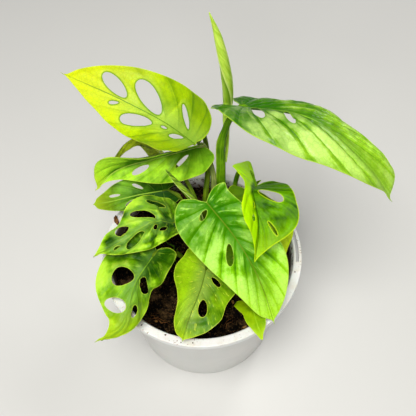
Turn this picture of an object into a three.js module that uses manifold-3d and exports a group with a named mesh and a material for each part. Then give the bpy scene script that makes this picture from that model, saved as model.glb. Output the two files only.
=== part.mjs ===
// A young monstera adansonii in a white hanging-type nursery pot, in millimetres, +Z up.
// The origin is the centre of the pot's flat underside.
//
// Every leaf is one grown piece: a holed blade, its midrib and its stalk. A blade is laid out flat
// first, with x along the midrib from the joint (0) to the tip, and y across it. The flat leaf is
// then bent over the midrib's curve in space.

import * as THREE from 'three';
import { mergeVertices } from 'three/addons/utils/BufferGeometryUtils.js';
import Module from 'manifold-3d';

const wasm = await Module();
wasm.setup();

// ---- Driving dimensions ----

const sectors = 48;

const pot = {
  height: 88, rimRadius: 60, mouthRadius: 55.3, baseRadius: 47.2, wall: 1.3, floor: 1.8,
  flange: 1.8, lipWall: 1.1, lipDrop: 4.2, edge: 0.6,
};
const drain = { count: 8, radius: 3.5, circle: 34 };
const hangerSlot = { inner: 56.5, outer: 58.2, from: -9, to: 17, turns: [0, 180] };

const soil = { top: 79.5, gap: 0.3, rings: 4, relief: 1.3 };
const stemHole = { depth: 11.8, clearance: 0.9, sides: 8 };
const footDepth = 11.5;

const blade = { thickness: 0.7, midrib: 0.9 };
// Facets along and across each half of a blade.
const grids = { large: [13, 4], middling: [11, 3], small: [9, 3], curled: [16, 5] };
// How the veins sweep from the midrib toward the margin.
const veins = { crowding: 1.25, sweep: 0.5, lift: 0.58 };
// How deep and how far along the midrib a stalk is seated.
const seat = { depth: 0.7, behind: 5, below: 2.5, tipRadius: 0.6 };
const stalkSides = 6;
const rollSides = 10;
const vineSides = 8;
const cutDepth = 2.4;

// Share of the midrib's length at which a blade's six half widths are given.
const stations = [0.03, 0.2, 0.4, 0.6, 0.78, 0.9];

// ---- The leaves ----
//
// rib: the midrib's curve, from the joint to the tip.   face: where the middle of the blade looks.
// twist: how far the blade turns about its midrib at the joint and at the tip, in degrees.
// left, right: how far the lobe reaches behind the joint, then the half widths at the six stations.
// fold: how steeply each half rises from the midrib, at the joint, the middle and the tip.
// curl: how much further it has turned at its margin.   wave: height and count of margin waves.
// holes: x, y, length, width and turn of each hole in the flat leaf.
// stalk: the stalk's route, from under the soil to the joint.   girth: its radius at both ends.

const leaves = {
  leaf_upper_left: {
    rib: [[-2, 34, 147], [-21, 57, 141], [-48, 72, 146], [-79, 79, 160]],
    face: [-0.03, -0.32, 0.95], twist: [-3, 1],
    left: [2.3, 25, 25, 23, 19, 11.5, 4.4], right: [6, 23, 24, 24, 21, 14, 6.7],
    fold: { left: [28, 15, 12], right: [25, 14, 14] }, curl: { left: [21, 7, 2], right: [28, 6, 5] },
    wave: [0, 3], grid: 'large',
    holes: [[65.6, -6.2, 18.5, 7.9, -22], [44.3, -8.6, 24, 10.3, -29], [16, -9.6, 16.4, 3.5, -38],
      [62, 4.5, 6, 2.5, 29], [43.7, 9, 20.6, 9.2, 17], [25, 3.9, 4.9, 2, 3], [12, 4.4, 8.9, 4.6, 30]],
    stalk: [[2, 27], [2.5, 29, 93], [3.6, 35, 104], [5, 48, 110], [4, 58, 119], [2, 53, 135], [0, 42, 141]],
    girth: [2, 1.2], color: 0x9ccb17,
  },
  leaf_upper_right: {
    rib: [[24, 49, 160], [57, 28, 172], [84, 7, 161], [102, -1, 137]],
    face: [0.26, -0.04, 0.97], twist: [13, -9],
    left: [12, 21, 21, 19, 14, 12, 9.5], right: [9, 23, 28, 25.5, 17, 8.3, 1.6],
    fold: { left: [4, -4, 19], right: [15, -2, 10] }, curl: { left: [-19, -32, 6], right: [-5, -29, -4] },
    wave: [0, 3], grid: 'large',
    holes: [[15, -7.6, 18, 4.6, -39], [32.4, -5.6, 12.2, 3.7, -38], [62, 9.6, 4.6, 1.8, 1]],
    stalk: [[14, 33], [13, 35, 104], [13, 39, 121], [13, 43, 136], [16, 46.5, 148], [20, 48.5, 155]],
    girth: [2.9, 1.7], color: 0x6fae1c,
  },
  leaf_folded: {
    rib: [[2, 47, 130], [-25, 46, 121], [-50, 44, 113], [-65, 35, 104]],
    face: [-0.2, -0.59, 0.78], twist: [-2, -9],
    left: [6, 18.2, 18.2, 15.7, 10.9, 5.5, 1], right: [2.8, 7, 11, 14.9, 16, 15.4, 7.6],
    fold: { left: [14, 1, -2], right: [80, 74, 52] }, curl: { left: [23, 4, 4], right: [50, 28, -13] },
    wave: [0, 3], grid: 'large',
    holes: [[40.7, 4.6, 12.1, 3.9, 13], [14, 6.2, 10.7, 2.7, 31]],
    stalk: [[8.5, 29], [8, 31, 102], [8, 36, 114], [5.5, 43, 123]], girth: [2.2, 1.4], color: 0x7cb821,
  },
  leaf_blue_green: {
    rib: [[-21, 40, 96], [-38, 34, 100], [-55, 31, 98], [-69, 35, 89]],
    face: [-0.11, -0.47, 0.88], twist: [0, 1],
    left: [7.5, 11, 11, 10, 7.4, 4.8, 3.2], right: [7.5, 12.3, 12.5, 11.8, 10, 6, 3.6],
    fold: { left: [8, 9, 10], right: [8, 9, 10] }, curl: { left: [2, 2, 3], right: [2, 2, 3] },
    wave: [0.6, 2], grid: 'small',
    holes: [[33.5, -3, 7.1, 1.6, -3], [18.5, -5.3, 6.9, 1.9, -35], [24.7, 4, 7, 2.5, 19]],
    stalk: [[-8, 30], [-9, 32, 86], [-14, 37, 93]], girth: [1.3, 0.9], color: 0x5d9c3a,
  },
  leaf_centre: {
    rib: [[3.5, 4, 134], [20, -12, 119], [32, -31, 106], [39.5, -49, 90]],
    face: [-0.13, -0.67, 0.73], twist: [0, 2],
    left: [4, 13.5, 15.5, 19.5, 19, 12, 5.4], right: [9.2, 22, 23, 21.4, 16.8, 11.6, 6.6],
    fold: { left: [1, 2, 5], right: [10, 12, 12] }, curl: { left: [0, 0, 2], right: [6, 8, 4] },
    wave: [0, 3], grid: 'large',
    holes: [[4.4, -5.8, 6.8, 3, -70], [31.6, -7.8, 12.9, 4.1, -27]],
    stalk: [[10, 15], [9.5, 14, 102], [7.5, 9, 125]], girth: [2.2, 1.3], color: 0x3f9a14,
  },
  leaf_curled: {
    rib: [[30.5, 12.5, 136], [28.5, 3, 142], [30.5, -14, 136], [27.5, -31, 129]],
    face: [-0.06, -0.19, 0.98], twist: [8, 1],
    left: [8.7, 19.2, 20, 21, 20, 8.5, 3], right: [23, 16.6, 7, 12.1, 12.3, 5.6, 1.6],
    fold: { left: [4, 6, 6], right: [41, 60, 66] }, curl: { left: [8, 6, 7], right: [-18, -21, -2] },
    wave: [0, 3], grid: 'curled',
    holes: [[14.2, 8.6, 15, 5.2, 52], [18.2, -2.4, 3, 1.7, 0], [25.1, -5.1, 4.2, 3.2, -22],
      [30.6, 7.2, 8, 1.6, 38]],
    stalk: [[20, 37], [22, 40, 104], [24.5, 37, 119], [28.5, 25, 132]], girth: [1.6, 1.1], color: 0x86c40f,
  },
  leaf_arched: {
    rib: [[-24, 59, 106], [-36, 69, 113], [-48, 70, 107], [-59, 63, 95]],
    face: [-0.24, 0.27, 0.93], twist: [0, -2],
    left: [4, 6.5, 6, 5.5, 6, 4.5, 2.4], right: [5.7, 9.8, 9.7, 8.9, 7.1, 4.5, 2.6],
    fold: { left: [-37, -40, -33], right: [-41, -45, -36] }, curl: { left: [2, 2, 2], right: [2, 2, 2] },
    wave: [0.5, 2], grid: 'small',
    holes: [],
    stalk: [[0, 20], [-3, 27, 101], [-9, 40, 107], [-17, 54, 105]], girth: [1.5, 1], color: 0x6f8f1e,
  },
  leaf_right_lower: {
    rib: [[29, 31, 106], [35, 16, 106], [43, 3, 104], [49, -10, 96]],
    face: [-0.05, -0.26, 0.97], twist: [1, 0],
    left: [3, 5, 8, 12, 13.5, 8.6, 3.3], right: [7.3, 16.1, 16.1, 15.1, 12.1, 7.6, 3],
    fold: { left: [8, 8, 8], right: [8, 8, 8] }, curl: { left: [2, 2, 2], right: [2, 2, 2] },
    wave: [0.6, 2], grid: 'small',
    holes: [[20, -6, 8, 2.6, -32]],
    stalk: [[26, 27], [26, 28, 90], [28, 30, 99]], girth: [1.4, 1], color: 0x84ad20,
  },
  leaf_front: {
    rib: [[3, -15, 98], [-1, -31, 99], [-7, -47, 99], [-11.5, -58, 91]],
    face: [0.18, -0.35, 0.92], twist: [-1, 0],
    left: [16.5, 22, 20.5, 16.5, 16.4, 12, 5.4], right: [7.3, 15.1, 17.9, 16.3, 10.2, 8, 5],
    fold: { left: [6, 7, 9], right: [7, 10, 9] }, curl: { left: [0, -2, 3], right: [0, 1, 4] },
    wave: [0.5, 2], grid: 'middling',
    holes: [[9.4, 7.1, 7.3, 3.3, 53], [26.6, 4.9, 10, 5, 15]],
    stalk: [[1, -4], [1, -5, 88], [2, -10, 95]], girth: [1.4, 0.9], color: 0x7cb01f,
  },
  leaf_small: {
    rib: [[26, -31, 82], [28, -38, 87.4], [29.6, -47, 90], [32.1, -57.5, 89.2]],
    face: [-0.19, 0.1, 0.97], twist: [-2, 0],
    left: [3.5, 9.4, 9.3, 8.2, 6.1, 3.9, 1.5], right: [3, 8.6, 7.9, 6.4, 5.6, 3.4, 1.7],
    fold: { left: [8, 8, 8], right: [7, 8, 8] }, curl: { left: [2, 2, 2], right: [2, 3, 2] },
    wave: [0.3, 2], grid: 'small',
    holes: [],
    stalk: [[25, -24], [25.4, -28, 81.5]], girth: [1, 0.7], color: 0x8cc022,
  },
  leaf_left_fringed: {
    rib: [[-13, 14, 98], [-29, 10, 105], [-45, 0, 103], [-63, -8, 97]],
    face: [0.01, -0.07, 1], twist: [-14, -1],
    left: [8.8, 16.5, 17.6, 18.1, 12.4, 6.8, 1.5], right: [8.2, 19.2, 19.3, 16.7, 9.3, 8, 3.2],
    fold: { left: [14, 6, 7], right: [2, 8, 7] }, curl: { left: [13, -3, 1], right: [-5, 6, 2] },
    wave: [0.8, 3], grid: 'middling',
    holes: [[20.4, -6.9, 13.4, 4.5, -36], [11.9, -13.1, 10.4, 3.4, -20], [35.2, -4.9, 9.1, 4.9, -6],
      [31.4, 5, 13.4, 4.7, 14], [42.6, 2.8, 4.6, 2.2, 0], [17.5, 4.7, 4.2, 2, 41], [13.8, 8.4, 5.4, 2.8, 20]],
    stalk: [[-5, 14], [-6, 15, 86], [-9, 15, 93]], girth: [1.4, 0.9], color: 0x7dba20,
  },
  leaf_left_draped: {
    rib: [[-26, -7, 101], [-38, -25, 96], [-44, -48, 91], [-58, -59, 94]],
    face: [-0.31, 0.07, 0.95], twist: [0, -4],
    left: [4.5, 18, 21.5, 20, 17, 8.5, 3.2], right: [8.2, 22.7, 24.3, 22.8, 15, 7.8, 1.5],
    fold: { left: [14, 19, 13], right: [10, 9, 7] }, curl: { left: [-3, 14, 2], right: [7, 7, 2] },
    wave: [0.6, 3], grid: 'middling',
    holes: [[20.9, -8.4, 13.3, 8.8, -79], [35.6, -8.4, 13.5, 8.5, 79], [22.5, 9, 15.4, 5.7, 42],
      [38.3, 6, 7.1, 4.1, 7]],
    stalk: [[-12, -2], [-13, -3, 88], [-20, -5, 97]], girth: [1.6, 1], color: 0x76b81e,
  },
};

// Leaves that are still rolled up: the tall new one, and a young shoot.
// route: from the foot to the tip.   girth: the radius at each point of the route.

const rolls = {
  rolled_leaf: {
    route: [[15.6, 41.5, 121], [16.5, 48.5, 129], [16, 54, 141], [16.5, 54.5, 156], [16, 52, 173],
      [14, 48.5, 192], [11, 46, 210], [7, 43.5, 225]],
    girth: [0.9, 1.4, 2.4, 3.3, 3.5, 3, 2, 0.35], turns: 1.2, steps: 20, color: 0x9cc84a,
  },
  young_shoot: {
    route: [[3, 10.5, 68], [3, 10.5, 83], [-1, 16, 103], [-6, 20, 116], [-12, 20, 129], [-18, 19, 144]],
    girth: [1.5, 1.6, 1.9, 2.4, 1.9, 0.35], turns: 0.6, steps: 14, color: 0xa6d23a,
  },
};

// Short pieces of the vine itself, which the stalks stand round.
const vines = {
  vine_back: {
    route: [[9, 21.5, 68], [9, 21.5, 80], [9.5, 22.5, 90], [10, 24, 98]],
    girth: [3, 2.9, 2.6, 1.6],
  },
  vine_left: {
    route: [[-12, 22, 68], [-12, 22, 78], [-13, 22, 86], [-15, 21, 92]],
    girth: [2.4, 2.3, 2, 1.2],
  },
};

// ---- Shared shape functions ----

const vector = (p) => new THREE.Vector3(p[0], p[1], p[2]);
const radians = THREE.MathUtils.degToRad;
const smoothCurve = (points) => new THREE.CatmullRomCurve3(points, false, 'catmullrom', 0.5);

// Straight-line values between a value at the joint, one halfway along the midrib and one at the tip.
function between(values, share) {
  const t = THREE.MathUtils.clamp(share, 0, 1);
  if (t < 0.5) return THREE.MathUtils.lerp(values[0], values[1], t * 2);
  return THREE.MathUtils.lerp(values[1], values[2], t * 2 - 1);
}

// A closed surface as a solid. Shared corners are merged, and triangles with no area are left out.
function solidOf(geometry) {
  const bare = geometry.clone();
  bare.deleteAttribute('normal');
  bare.deleteAttribute('uv');
  const merged = mergeVertices(bare, 1e-4);
  const corners = merged.index.array;
  const kept = [];
  for (let i = 0; i < corners.length; i += 3) {
    const [a, b, c] = [corners[i], corners[i + 1], corners[i + 2]];
    if (a !== b && b !== c && c !== a) kept.push(a, b, c);
  }
  const mesh = new wasm.Mesh({
    numProp: 3,
    vertProperties: Float32Array.from(merged.attributes.position.array),
    triVerts: Uint32Array.from(kept),
  });
  return new wasm.Manifold(mesh);
}

function geometryOf(solid) {
  const mesh = solid.getMesh();
  const geometry = new THREE.BufferGeometry();
  geometry.setAttribute('position', new THREE.BufferAttribute(Float32Array.from(mesh.vertProperties), 3));
  geometry.setIndex(new THREE.BufferAttribute(Uint32Array.from(mesh.triVerts), 1));
  geometry.computeVertexNormals();
  return geometry;
}

function indexedGeometry(points, triangles) {
  const geometry = new THREE.BufferGeometry();
  const numbers = points.flatMap((p) => [p.x, p.y, p.z]);
  geometry.setAttribute('position', new THREE.Float32BufferAttribute(numbers, 3));
  geometry.setIndex(triangles);
  return geometry;
}

// A shape turned about the Z axis, from a profile of [radius, height] pairs that starts and ends on it.
function turned(profile) {
  const points = profile.map(([radius, height]) => new THREE.Vector2(radius, height));
  const geometry = new THREE.LatheGeometry(points, sectors);
  geometry.rotateX(Math.PI / 2);
  return geometry;
}

// A closed tube along a route. section(angle, share) gives its radius; both ends are closed.
function tube(points, sides, steps, section) {
  const curve = smoothCurve(points);
  const frames = curve.computeFrenetFrames(steps, false);
  const corners = [];
  for (let i = 0; i <= steps; i += 1) {
    const centre = curve.getPointAt(i / steps);
    for (let k = 0; k < sides; k += 1) {
      const angle = (2 * Math.PI * k) / sides;
      const radius = section(angle, i / steps);
      corners.push(centre.clone()
        .addScaledVector(frames.normals[i], radius * Math.cos(angle))
        .addScaledVector(frames.binormals[i], radius * Math.sin(angle)));
    }
  }
  const first = corners.push(curve.getPointAt(0)) - 1;
  const last = corners.push(curve.getPointAt(1)) - 1;
  const triangles = [];
  for (let k = 0; k < sides; k += 1) {
    const next = (k + 1) % sides;
    for (let i = 0; i < steps; i += 1) {
      const here = i * sides;
      const ahead = here + sides;
      triangles.push(here + k, here + next, ahead + next, here + k, ahead + next, ahead + k);
    }
    triangles.push(first, next, k);
    triangles.push(last, steps * sides + k, steps * sides + next);
  }
  return indexedGeometry(corners, triangles);
}

// A radius that runs evenly through a list of values.
function girthAt(values, share) {
  const place = share * (values.length - 1);
  const i = Math.min(Math.floor(place), values.length - 2);
  return THREE.MathUtils.lerp(values[i], values[i + 1], place - i);
}

// ---- Leaf blades ----

// The midrib in space: its length, and the point and directions at a distance x from the joint.
function ribOf(leaf) {
  const points = leaf.rib.map(vector);
  const behind = points[0].clone().addScaledVector(points[1].clone().sub(points[0]), -0.5);
  const curve = smoothCurve([behind, ...points]);
  const count = 120;
  const samples = [];
  for (let i = 0; i <= count; i += 1) {
    samples.push({ point: curve.getPoint(i / count), along: curve.getTangent(i / count) });
  }
  const joint = count / points.length;
  samples[joint].x = 0;
  for (let i = joint + 1; i <= count; i += 1) {
    samples[i].x = samples[i - 1].x + samples[i].point.distanceTo(samples[i - 1].point);
  }
  for (let i = joint - 1; i >= 0; i -= 1) {
    samples[i].x = samples[i + 1].x - samples[i].point.distanceTo(samples[i + 1].point);
  }
  const length = samples[count].x;
  const middle = samples.findIndex((s) => s.x >= 0.45 * length);
  const square = (direction, along) => {
    const lean = direction.dot(along);
    return direction.clone().addScaledVector(along, -lean).normalize();
  };
  samples[middle].up = square(vector(leaf.face), samples[middle].along);
  for (let i = middle + 1; i <= count; i += 1) samples[i].up = square(samples[i - 1].up, samples[i].along);
  for (let i = middle - 1; i >= 0; i -= 1) samples[i].up = square(samples[i + 1].up, samples[i].along);
  const frameAt = (x) => {
    const k = THREE.MathUtils.clamp(samples.findIndex((s) => s.x >= x), 1, count);
    const before = x > length ? samples[count - 1] : samples[k - 1];
    const after = samples[k];
    const t = (x - before.x) / (after.x - before.x);
    const point = before.point.clone().lerp(after.point, t);
    const along = before.along.clone().lerp(after.along, THREE.MathUtils.clamp(t, 0, 1)).normalize();
    const up = square(before.up.clone().lerp(after.up, THREE.MathUtils.clamp(t, 0, 1)), along);
    const share = x / length;
    const turn = share < 0.45 ? leaf.twist[0] * (1 - Math.max(share, 0) / 0.45)
      : leaf.twist[1] * Math.min((share - 0.45) / 0.55, 1);
    const across = up.clone().cross(along);
    const c = Math.cos(radians(turn));
    const s = Math.sin(radians(turn));
    return {
      point, along,
      up: up.clone().multiplyScalar(c).addScaledVector(across, s),
      across: across.clone().multiplyScalar(c).addScaledVector(up, -s),
    };
  };
  return { length, frameAt };
}

// One margin in the flat leaf, from the cut at the stalk, round the lobe, to the drip tip.
function marginOf(widths, length) {
  const lobe = widths[0];
  const halves = widths.slice(1);
  const widest = Math.max(...halves);
  return smoothCurve([
    [-0.6 * lobe, 0.18 * widest], [-lobe, 0.45 * widest], [-0.65 * lobe, 0.74 * widest],
    ...stations.map((share, i) => [share * length, halves[i]]),
    [0.96 * length, 0.9], [length, 0],
  ].map(([x, y]) => new THREE.Vector3(x, y, 0)));
}

// Where a leaf's flat points lie in space. place() gives the point and the way its upper face looks.
function leafShape(leaf) {
  const { length, frameAt } = ribOf(leaf);
  const margins = { left: marginOf(leaf.left, length), right: marginOf(leaf.right, length) };
  const halfWidth = { left: Math.max(...leaf.left.slice(1)), right: Math.max(...leaf.right.slice(1)) };
  // u follows the veins from the stalk (0) to the tip (1); v runs along a vein from the rib to the margin.
  const flat = (half, u, v) => {
    const margin = margins[half].getPoint(u);
    const root = length * u ** veins.crowding;
    const bend = root + veins.sweep * (margin.x - root);
    const x = (1 - v) ** 2 * root + 2 * v * (1 - v) * bend + v * v * margin.x;
    const y = 2 * v * (1 - v) * veins.lift * margin.y + v * v * Math.max(margin.y, 0);
    return { x, y: half === 'left' ? y : -y };
  };
  const place = (x, y) => {
    const half = y >= 0 ? 'left' : 'right';
    const sign = y >= 0 ? 1 : -1;
    const reach = Math.abs(y);
    const share = x / length;
    const { point, up, across } = frameAt(x);
    const fold = radians(between(leaf.fold[half], share));
    const bend = radians(between(leaf.curl[half], share)) / halfWidth[half];
    const turn = fold + bend * reach;
    const straight = Math.abs(bend) < 1e-6;
    const out = straight ? reach * Math.cos(fold) : (Math.sin(turn) - Math.sin(fold)) / bend;
    const rise = straight ? reach * Math.sin(fold) : (Math.cos(fold) - Math.cos(turn)) / bend;
    const phase = half === 'left' ? 0 : 1.3;
    const wave = leaf.wave[0] * Math.sin(2 * Math.PI * leaf.wave[1] * share + phase)
      * (reach / halfWidth[half]) ** 2;
    const normal = up.clone().multiplyScalar(Math.cos(turn)).addScaledVector(across, -sign * Math.sin(turn));
    const spot = point.clone().addScaledVector(across, sign * out).addScaledVector(up, rise)
      .addScaledVector(normal, wave);
    return { point: spot, normal };
  };
  return { length, frameAt, flat, place };
}

// The blade as one closed sheet, thicker along the midrib, with the same triangles on both faces.
function bladeSolid(shape, grid) {
  const [rows, columns] = grids[grid];
  const upper = [];
  const lower = [];
  const addCorner = ({ x, y }, onRib) => {
    const { point, normal } = shape.place(x, y);
    const ridge = onRib ? blade.midrib * Math.max(0, 1 - x / shape.length) : 0;
    upper.push(point.clone().addScaledVector(normal, blade.thickness / 2));
    lower.push(point.clone().addScaledVector(normal, -blade.thickness / 2 - ridge));
    return upper.length - 1;
  };
  const ribCorners = [];
  for (let i = 0; i <= rows; i += 1) ribCorners.push(addCorner(shape.flat('left', i / rows, 0), true));
  const net = {};
  for (const half of ['left', 'right']) {
    net[half] = ribCorners.map((corner, i) => {
      const line = [corner];
      for (let j = 1; j <= columns; j += 1) {
        line.push(i === rows ? corner : addCorner(shape.flat(half, i / rows, j / columns), false));
      }
      return line;
    });
  }
  const faces = [];
  const addFace = (a, b, c, half) => {
    if (a === b || b === c || c === a) return;
    faces.push(half === 'left' ? [a, b, c] : [a, c, b]);
  };
  for (const half of ['left', 'right']) {
    for (let i = 0; i < rows; i += 1) {
      for (let j = 0; j < columns; j += 1) {
        const [a, b] = [net[half][i][j], net[half][i + 1][j]];
        const [c, d] = [net[half][i + 1][j + 1], net[half][i][j + 1]];
        addFace(a, b, c, half);
        addFace(a, c, d, half);
      }
    }
  }
  const outline = [];
  for (let i = rows; i >= 0; i -= 1) outline.push(net.left[i][columns]);
  for (let j = columns - 1; j >= 0; j -= 1) outline.push(net.left[0][j]);
  for (let j = 1; j <= columns; j += 1) outline.push(net.right[0][j]);
  for (let i = 1; i < rows; i += 1) outline.push(net.right[i][columns]);
  const under = upper.length;
  const triangles = [];
  for (const [a, b, c] of faces) triangles.push(a, b, c, under + a, under + c, under + b);
  outline.forEach((a, i) => {
    const b = outline[(i + 1) % outline.length];
    triangles.push(b, a, under + a, b, under + a, under + b);
  });
  return solidOf(indexedGeometry([...upper, ...lower], triangles));
}

// A plug through the blade, with the outline of one hole.
function holeSolid(shape, [x, y, length, width, turn]) {
  const sides = length > 6 ? 10 : 7;
  const c = Math.cos(radians(turn));
  const s = Math.sin(radians(turn));
  const spots = [[0, 0]];
  for (let k = 0; k < sides; k += 1) {
    const angle = (2 * Math.PI * k) / sides;
    spots.push([(length / 2) * Math.cos(angle), (width / 2) * Math.sin(angle)]);
  }
  const placed = spots.map(([p, q]) => shape.place(x + p * c - q * s, y + p * s + q * c));
  const above = placed.map(({ point, normal }) => point.clone().addScaledVector(normal, cutDepth));
  const below = placed.map(({ point, normal }) => point.clone().addScaledVector(normal, -cutDepth));
  const under = placed.length;
  const triangles = [];
  for (let k = 1; k <= sides; k += 1) {
    const next = (k % sides) + 1;
    triangles.push(0, k, next, under, under + next, under + k);
    triangles.push(k, under + k, under + next, k, under + next, next);
  }
  return solidOf(indexedGeometry([...above, ...below], triangles));
}

// The stalk, from its foot in the soil to the joint, and on into the midrib's underside. One that
// comes up from under the blade meets the midrib a little past the joint.
function stalkSolid(leaf, shape) {
  const [foot, ...route] = leaf.stalk;
  const joint = shape.frameAt(0);
  const fromBelow = joint.along.dot(vector(route.at(-1)).sub(joint.point)) > 0;
  const seats = (fromBelow ? [seat.below] : [0, seat.behind]).map((x) => shape.frameAt(x));
  const points = [
    new THREE.Vector3(foot[0], foot[1], soil.top - footDepth),
    new THREE.Vector3(foot[0], foot[1], soil.top + 1.5),
    ...route.map(vector),
    ...seats.map(({ point, up }) => point.clone().addScaledVector(up, -seat.depth)),
  ];
  const [low, high] = leaf.girth;
  const steps = 2 * points.length;
  const section = (angle, share) => (
    share > 0.97 ? seat.tipRadius : THREE.MathUtils.lerp(low, high, share ** 1.2));
  return solidOf(tube(points, stalkSides, steps, section));
}

function leafSolid(leaf) {
  const shape = leafShape(leaf);
  let solid = bladeSolid(shape, leaf.grid);
  for (const hole of leaf.holes) solid = solid.subtract(holeSolid(shape, hole));
  return solid.add(stalkSolid(leaf, shape));
}

// ---- Rolled leaves and vine pieces ----

// A leaf rolled round itself: the section steps out along a seam that winds up the roll.
function rollSolid({ route, girth, turns, steps }) {
  const section = (angle, share) => {
    const wound = THREE.MathUtils.euclideanModulo(angle / (2 * Math.PI) + turns * share, 1);
    return girthAt(girth, share) * (0.8 + 0.2 * wound);
  };
  return solidOf(tube(route.map(vector), rollSides, steps, section));
}

function vineSolid({ route, girth }) {
  return solidOf(tube(route.map(vector), vineSides, 6, (angle, share) => girthAt(girth, share)));
}

// ---- Pot and soil ----

// The pot's outer radius at a height: the wall is a plain taper.
function wallRadius(height) {
  const top = pot.mouthRadius + 0.4;
  return THREE.MathUtils.lerp(pot.baseRadius, top, height / pot.height);
}

function potSolid() {
  const under = pot.height - pot.flange;
  const lipInside = pot.rimRadius - pot.lipWall;
  const lipFoot = pot.height - pot.lipDrop;
  const inner = (height) => wallRadius(height) - pot.wall;
  const body = solidOf(turned([
    [0, 0], [pot.baseRadius - pot.edge, 0], [wallRadius(pot.edge), pot.edge],
    [wallRadius(under), under], [lipInside, under], [lipInside, lipFoot], [pot.rimRadius, lipFoot],
    [pot.rimRadius, pot.height - pot.edge], [pot.rimRadius - pot.edge, pot.height],
    [pot.mouthRadius + pot.edge, pot.height], [pot.mouthRadius, pot.height - pot.edge],
    [inner(under - 1), under - 1], [inner(pot.floor), pot.floor], [0, pot.floor],
  ]));
  let solid = body;
  const hole = new THREE.CylinderGeometry(drain.radius, drain.radius, 3 * pot.floor, 12);
  hole.rotateX(Math.PI / 2);
  for (let k = 0; k < drain.count; k += 1) {
    const angle = (2 * Math.PI * (k + 0.5)) / drain.count;
    const cutter = hole.clone();
    cutter.translate(drain.circle * Math.cos(angle), drain.circle * Math.sin(angle), pot.floor / 2);
    solid = solid.subtract(solidOf(cutter));
  }
  for (const turn of hangerSlot.turns) {
    const from = radians(hangerSlot.from + turn);
    const to = radians(hangerSlot.to + turn);
    const outline = new THREE.Shape();
    outline.absarc(0, 0, hangerSlot.outer, from, to, false);
    outline.absarc(0, 0, hangerSlot.inner, to, from, true);
    outline.closePath();
    const depth = 2 * pot.flange;
    const slot = new THREE.ExtrudeGeometry(outline, { depth, bevelEnabled: false, curveSegments: 6 });
    slot.translate(0, 0, under - pot.flange / 2);
    solid = solid.subtract(solidOf(slot));
  }
  return solid;
}

// The soil's surface: shallow mounds, a little higher round the stems and flat at the pot's wall.
function soilHeight(x, y) {
  const fade = 1 - (Math.hypot(x, y) / pot.mouthRadius) ** 4;
  const mounds = Math.sin(x * 0.16 + 1) * Math.cos(y * 0.13 - 0.6) + 0.5 * Math.sin(x * 0.31 - y * 0.27);
  return soil.top + soil.relief * mounds * fade;
}

function soilSolid(feet) {
  const floor = pot.floor + soil.gap;
  const lowRadius = wallRadius(floor) - pot.wall - soil.gap;
  const topRadius = wallRadius(soil.top) - pot.wall - soil.gap;
  const corners = [new THREE.Vector3(0, 0, soilHeight(0, 0))];
  for (let ring = 1; ring <= soil.rings; ring += 1) {
    for (let k = 0; k < sectors; k += 1) {
      const angle = (2 * Math.PI * k) / sectors;
      const x = topRadius * (ring / soil.rings) * Math.cos(angle);
      const y = topRadius * (ring / soil.rings) * Math.sin(angle);
      corners.push(new THREE.Vector3(x, y, ring === soil.rings ? soil.top : soilHeight(x, y)));
    }
  }
  for (let k = 0; k < sectors; k += 1) {
    const angle = (2 * Math.PI * k) / sectors;
    corners.push(new THREE.Vector3(lowRadius * Math.cos(angle), lowRadius * Math.sin(angle), floor));
  }
  const base = corners.push(new THREE.Vector3(0, 0, floor)) - 1;
  const at = (ring, k) => 1 + (ring - 1) * sectors + (k % sectors);
  const triangles = [];
  for (let k = 0; k < sectors; k += 1) {
    triangles.push(0, at(1, k), at(1, k + 1));
    for (let ring = 1; ring <= soil.rings; ring += 1) {
      triangles.push(at(ring, k), at(ring + 1, k), at(ring + 1, k + 1));
      triangles.push(at(ring, k), at(ring + 1, k + 1), at(ring, k + 1));
    }
    triangles.push(base, at(soil.rings + 1, k + 1), at(soil.rings + 1, k));
  }
  let solid = solidOf(indexedGeometry(corners, triangles));
  for (const { x, y, radius } of feet) {
    const wide = radius + stemHole.clearance;
    const hole = new THREE.CylinderGeometry(wide, wide, 2 * stemHole.depth, stemHole.sides);
    hole.rotateX(Math.PI / 2);
    hole.translate(x, y, soil.top);
    solid = solid.subtract(solidOf(hole));
  }
  return solid;
}

// ---- The plant ----

const plant = new THREE.Group();

function addPiece(name, solid, color, roughness) {
  const material = new THREE.MeshStandardMaterial({ color, roughness, metalness: 0 });
  const mesh = new THREE.Mesh(geometryOf(solid), material);
  mesh.name = name;
  plant.add(mesh);
}

const feet = [
  ...Object.values(leaves).map(({ stalk, girth }) => ({ x: stalk[0][0], y: stalk[0][1], radius: girth[0] })),
  ...[rolls.young_shoot, vines.vine_back, vines.vine_left].map(({ route, girth }) => (
    { x: route[0][0], y: route[0][1], radius: girth[0] })),
];

addPiece('pot', potSolid(), 0xe4e6e6, 0.4);
addPiece('soil', soilSolid(feet), 0x2a1c14, 0.95);
for (const [name, leaf] of Object.entries(leaves)) addPiece(name, leafSolid(leaf), leaf.color, 0.45);
for (const [name, roll] of Object.entries(rolls)) addPiece(name, rollSolid(roll), roll.color, 0.5);
for (const [name, vine] of Object.entries(vines)) addPiece(name, vineSolid(vine), 0x5c7a2c, 0.6);

export default plant;
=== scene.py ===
"""A young monstera adansonii in a white nursery pot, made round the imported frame.

Sizes in the sections below are in millimetres, in the frame's own directions, and each mesh is
brought to metres as it is made.
"""

import bpy
import numpy as np
from mathutils import Matrix, Vector, noise
from mathutils.geometry import delaunay_2d_cdt
from mathutils.kdtree import KDTree


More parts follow.
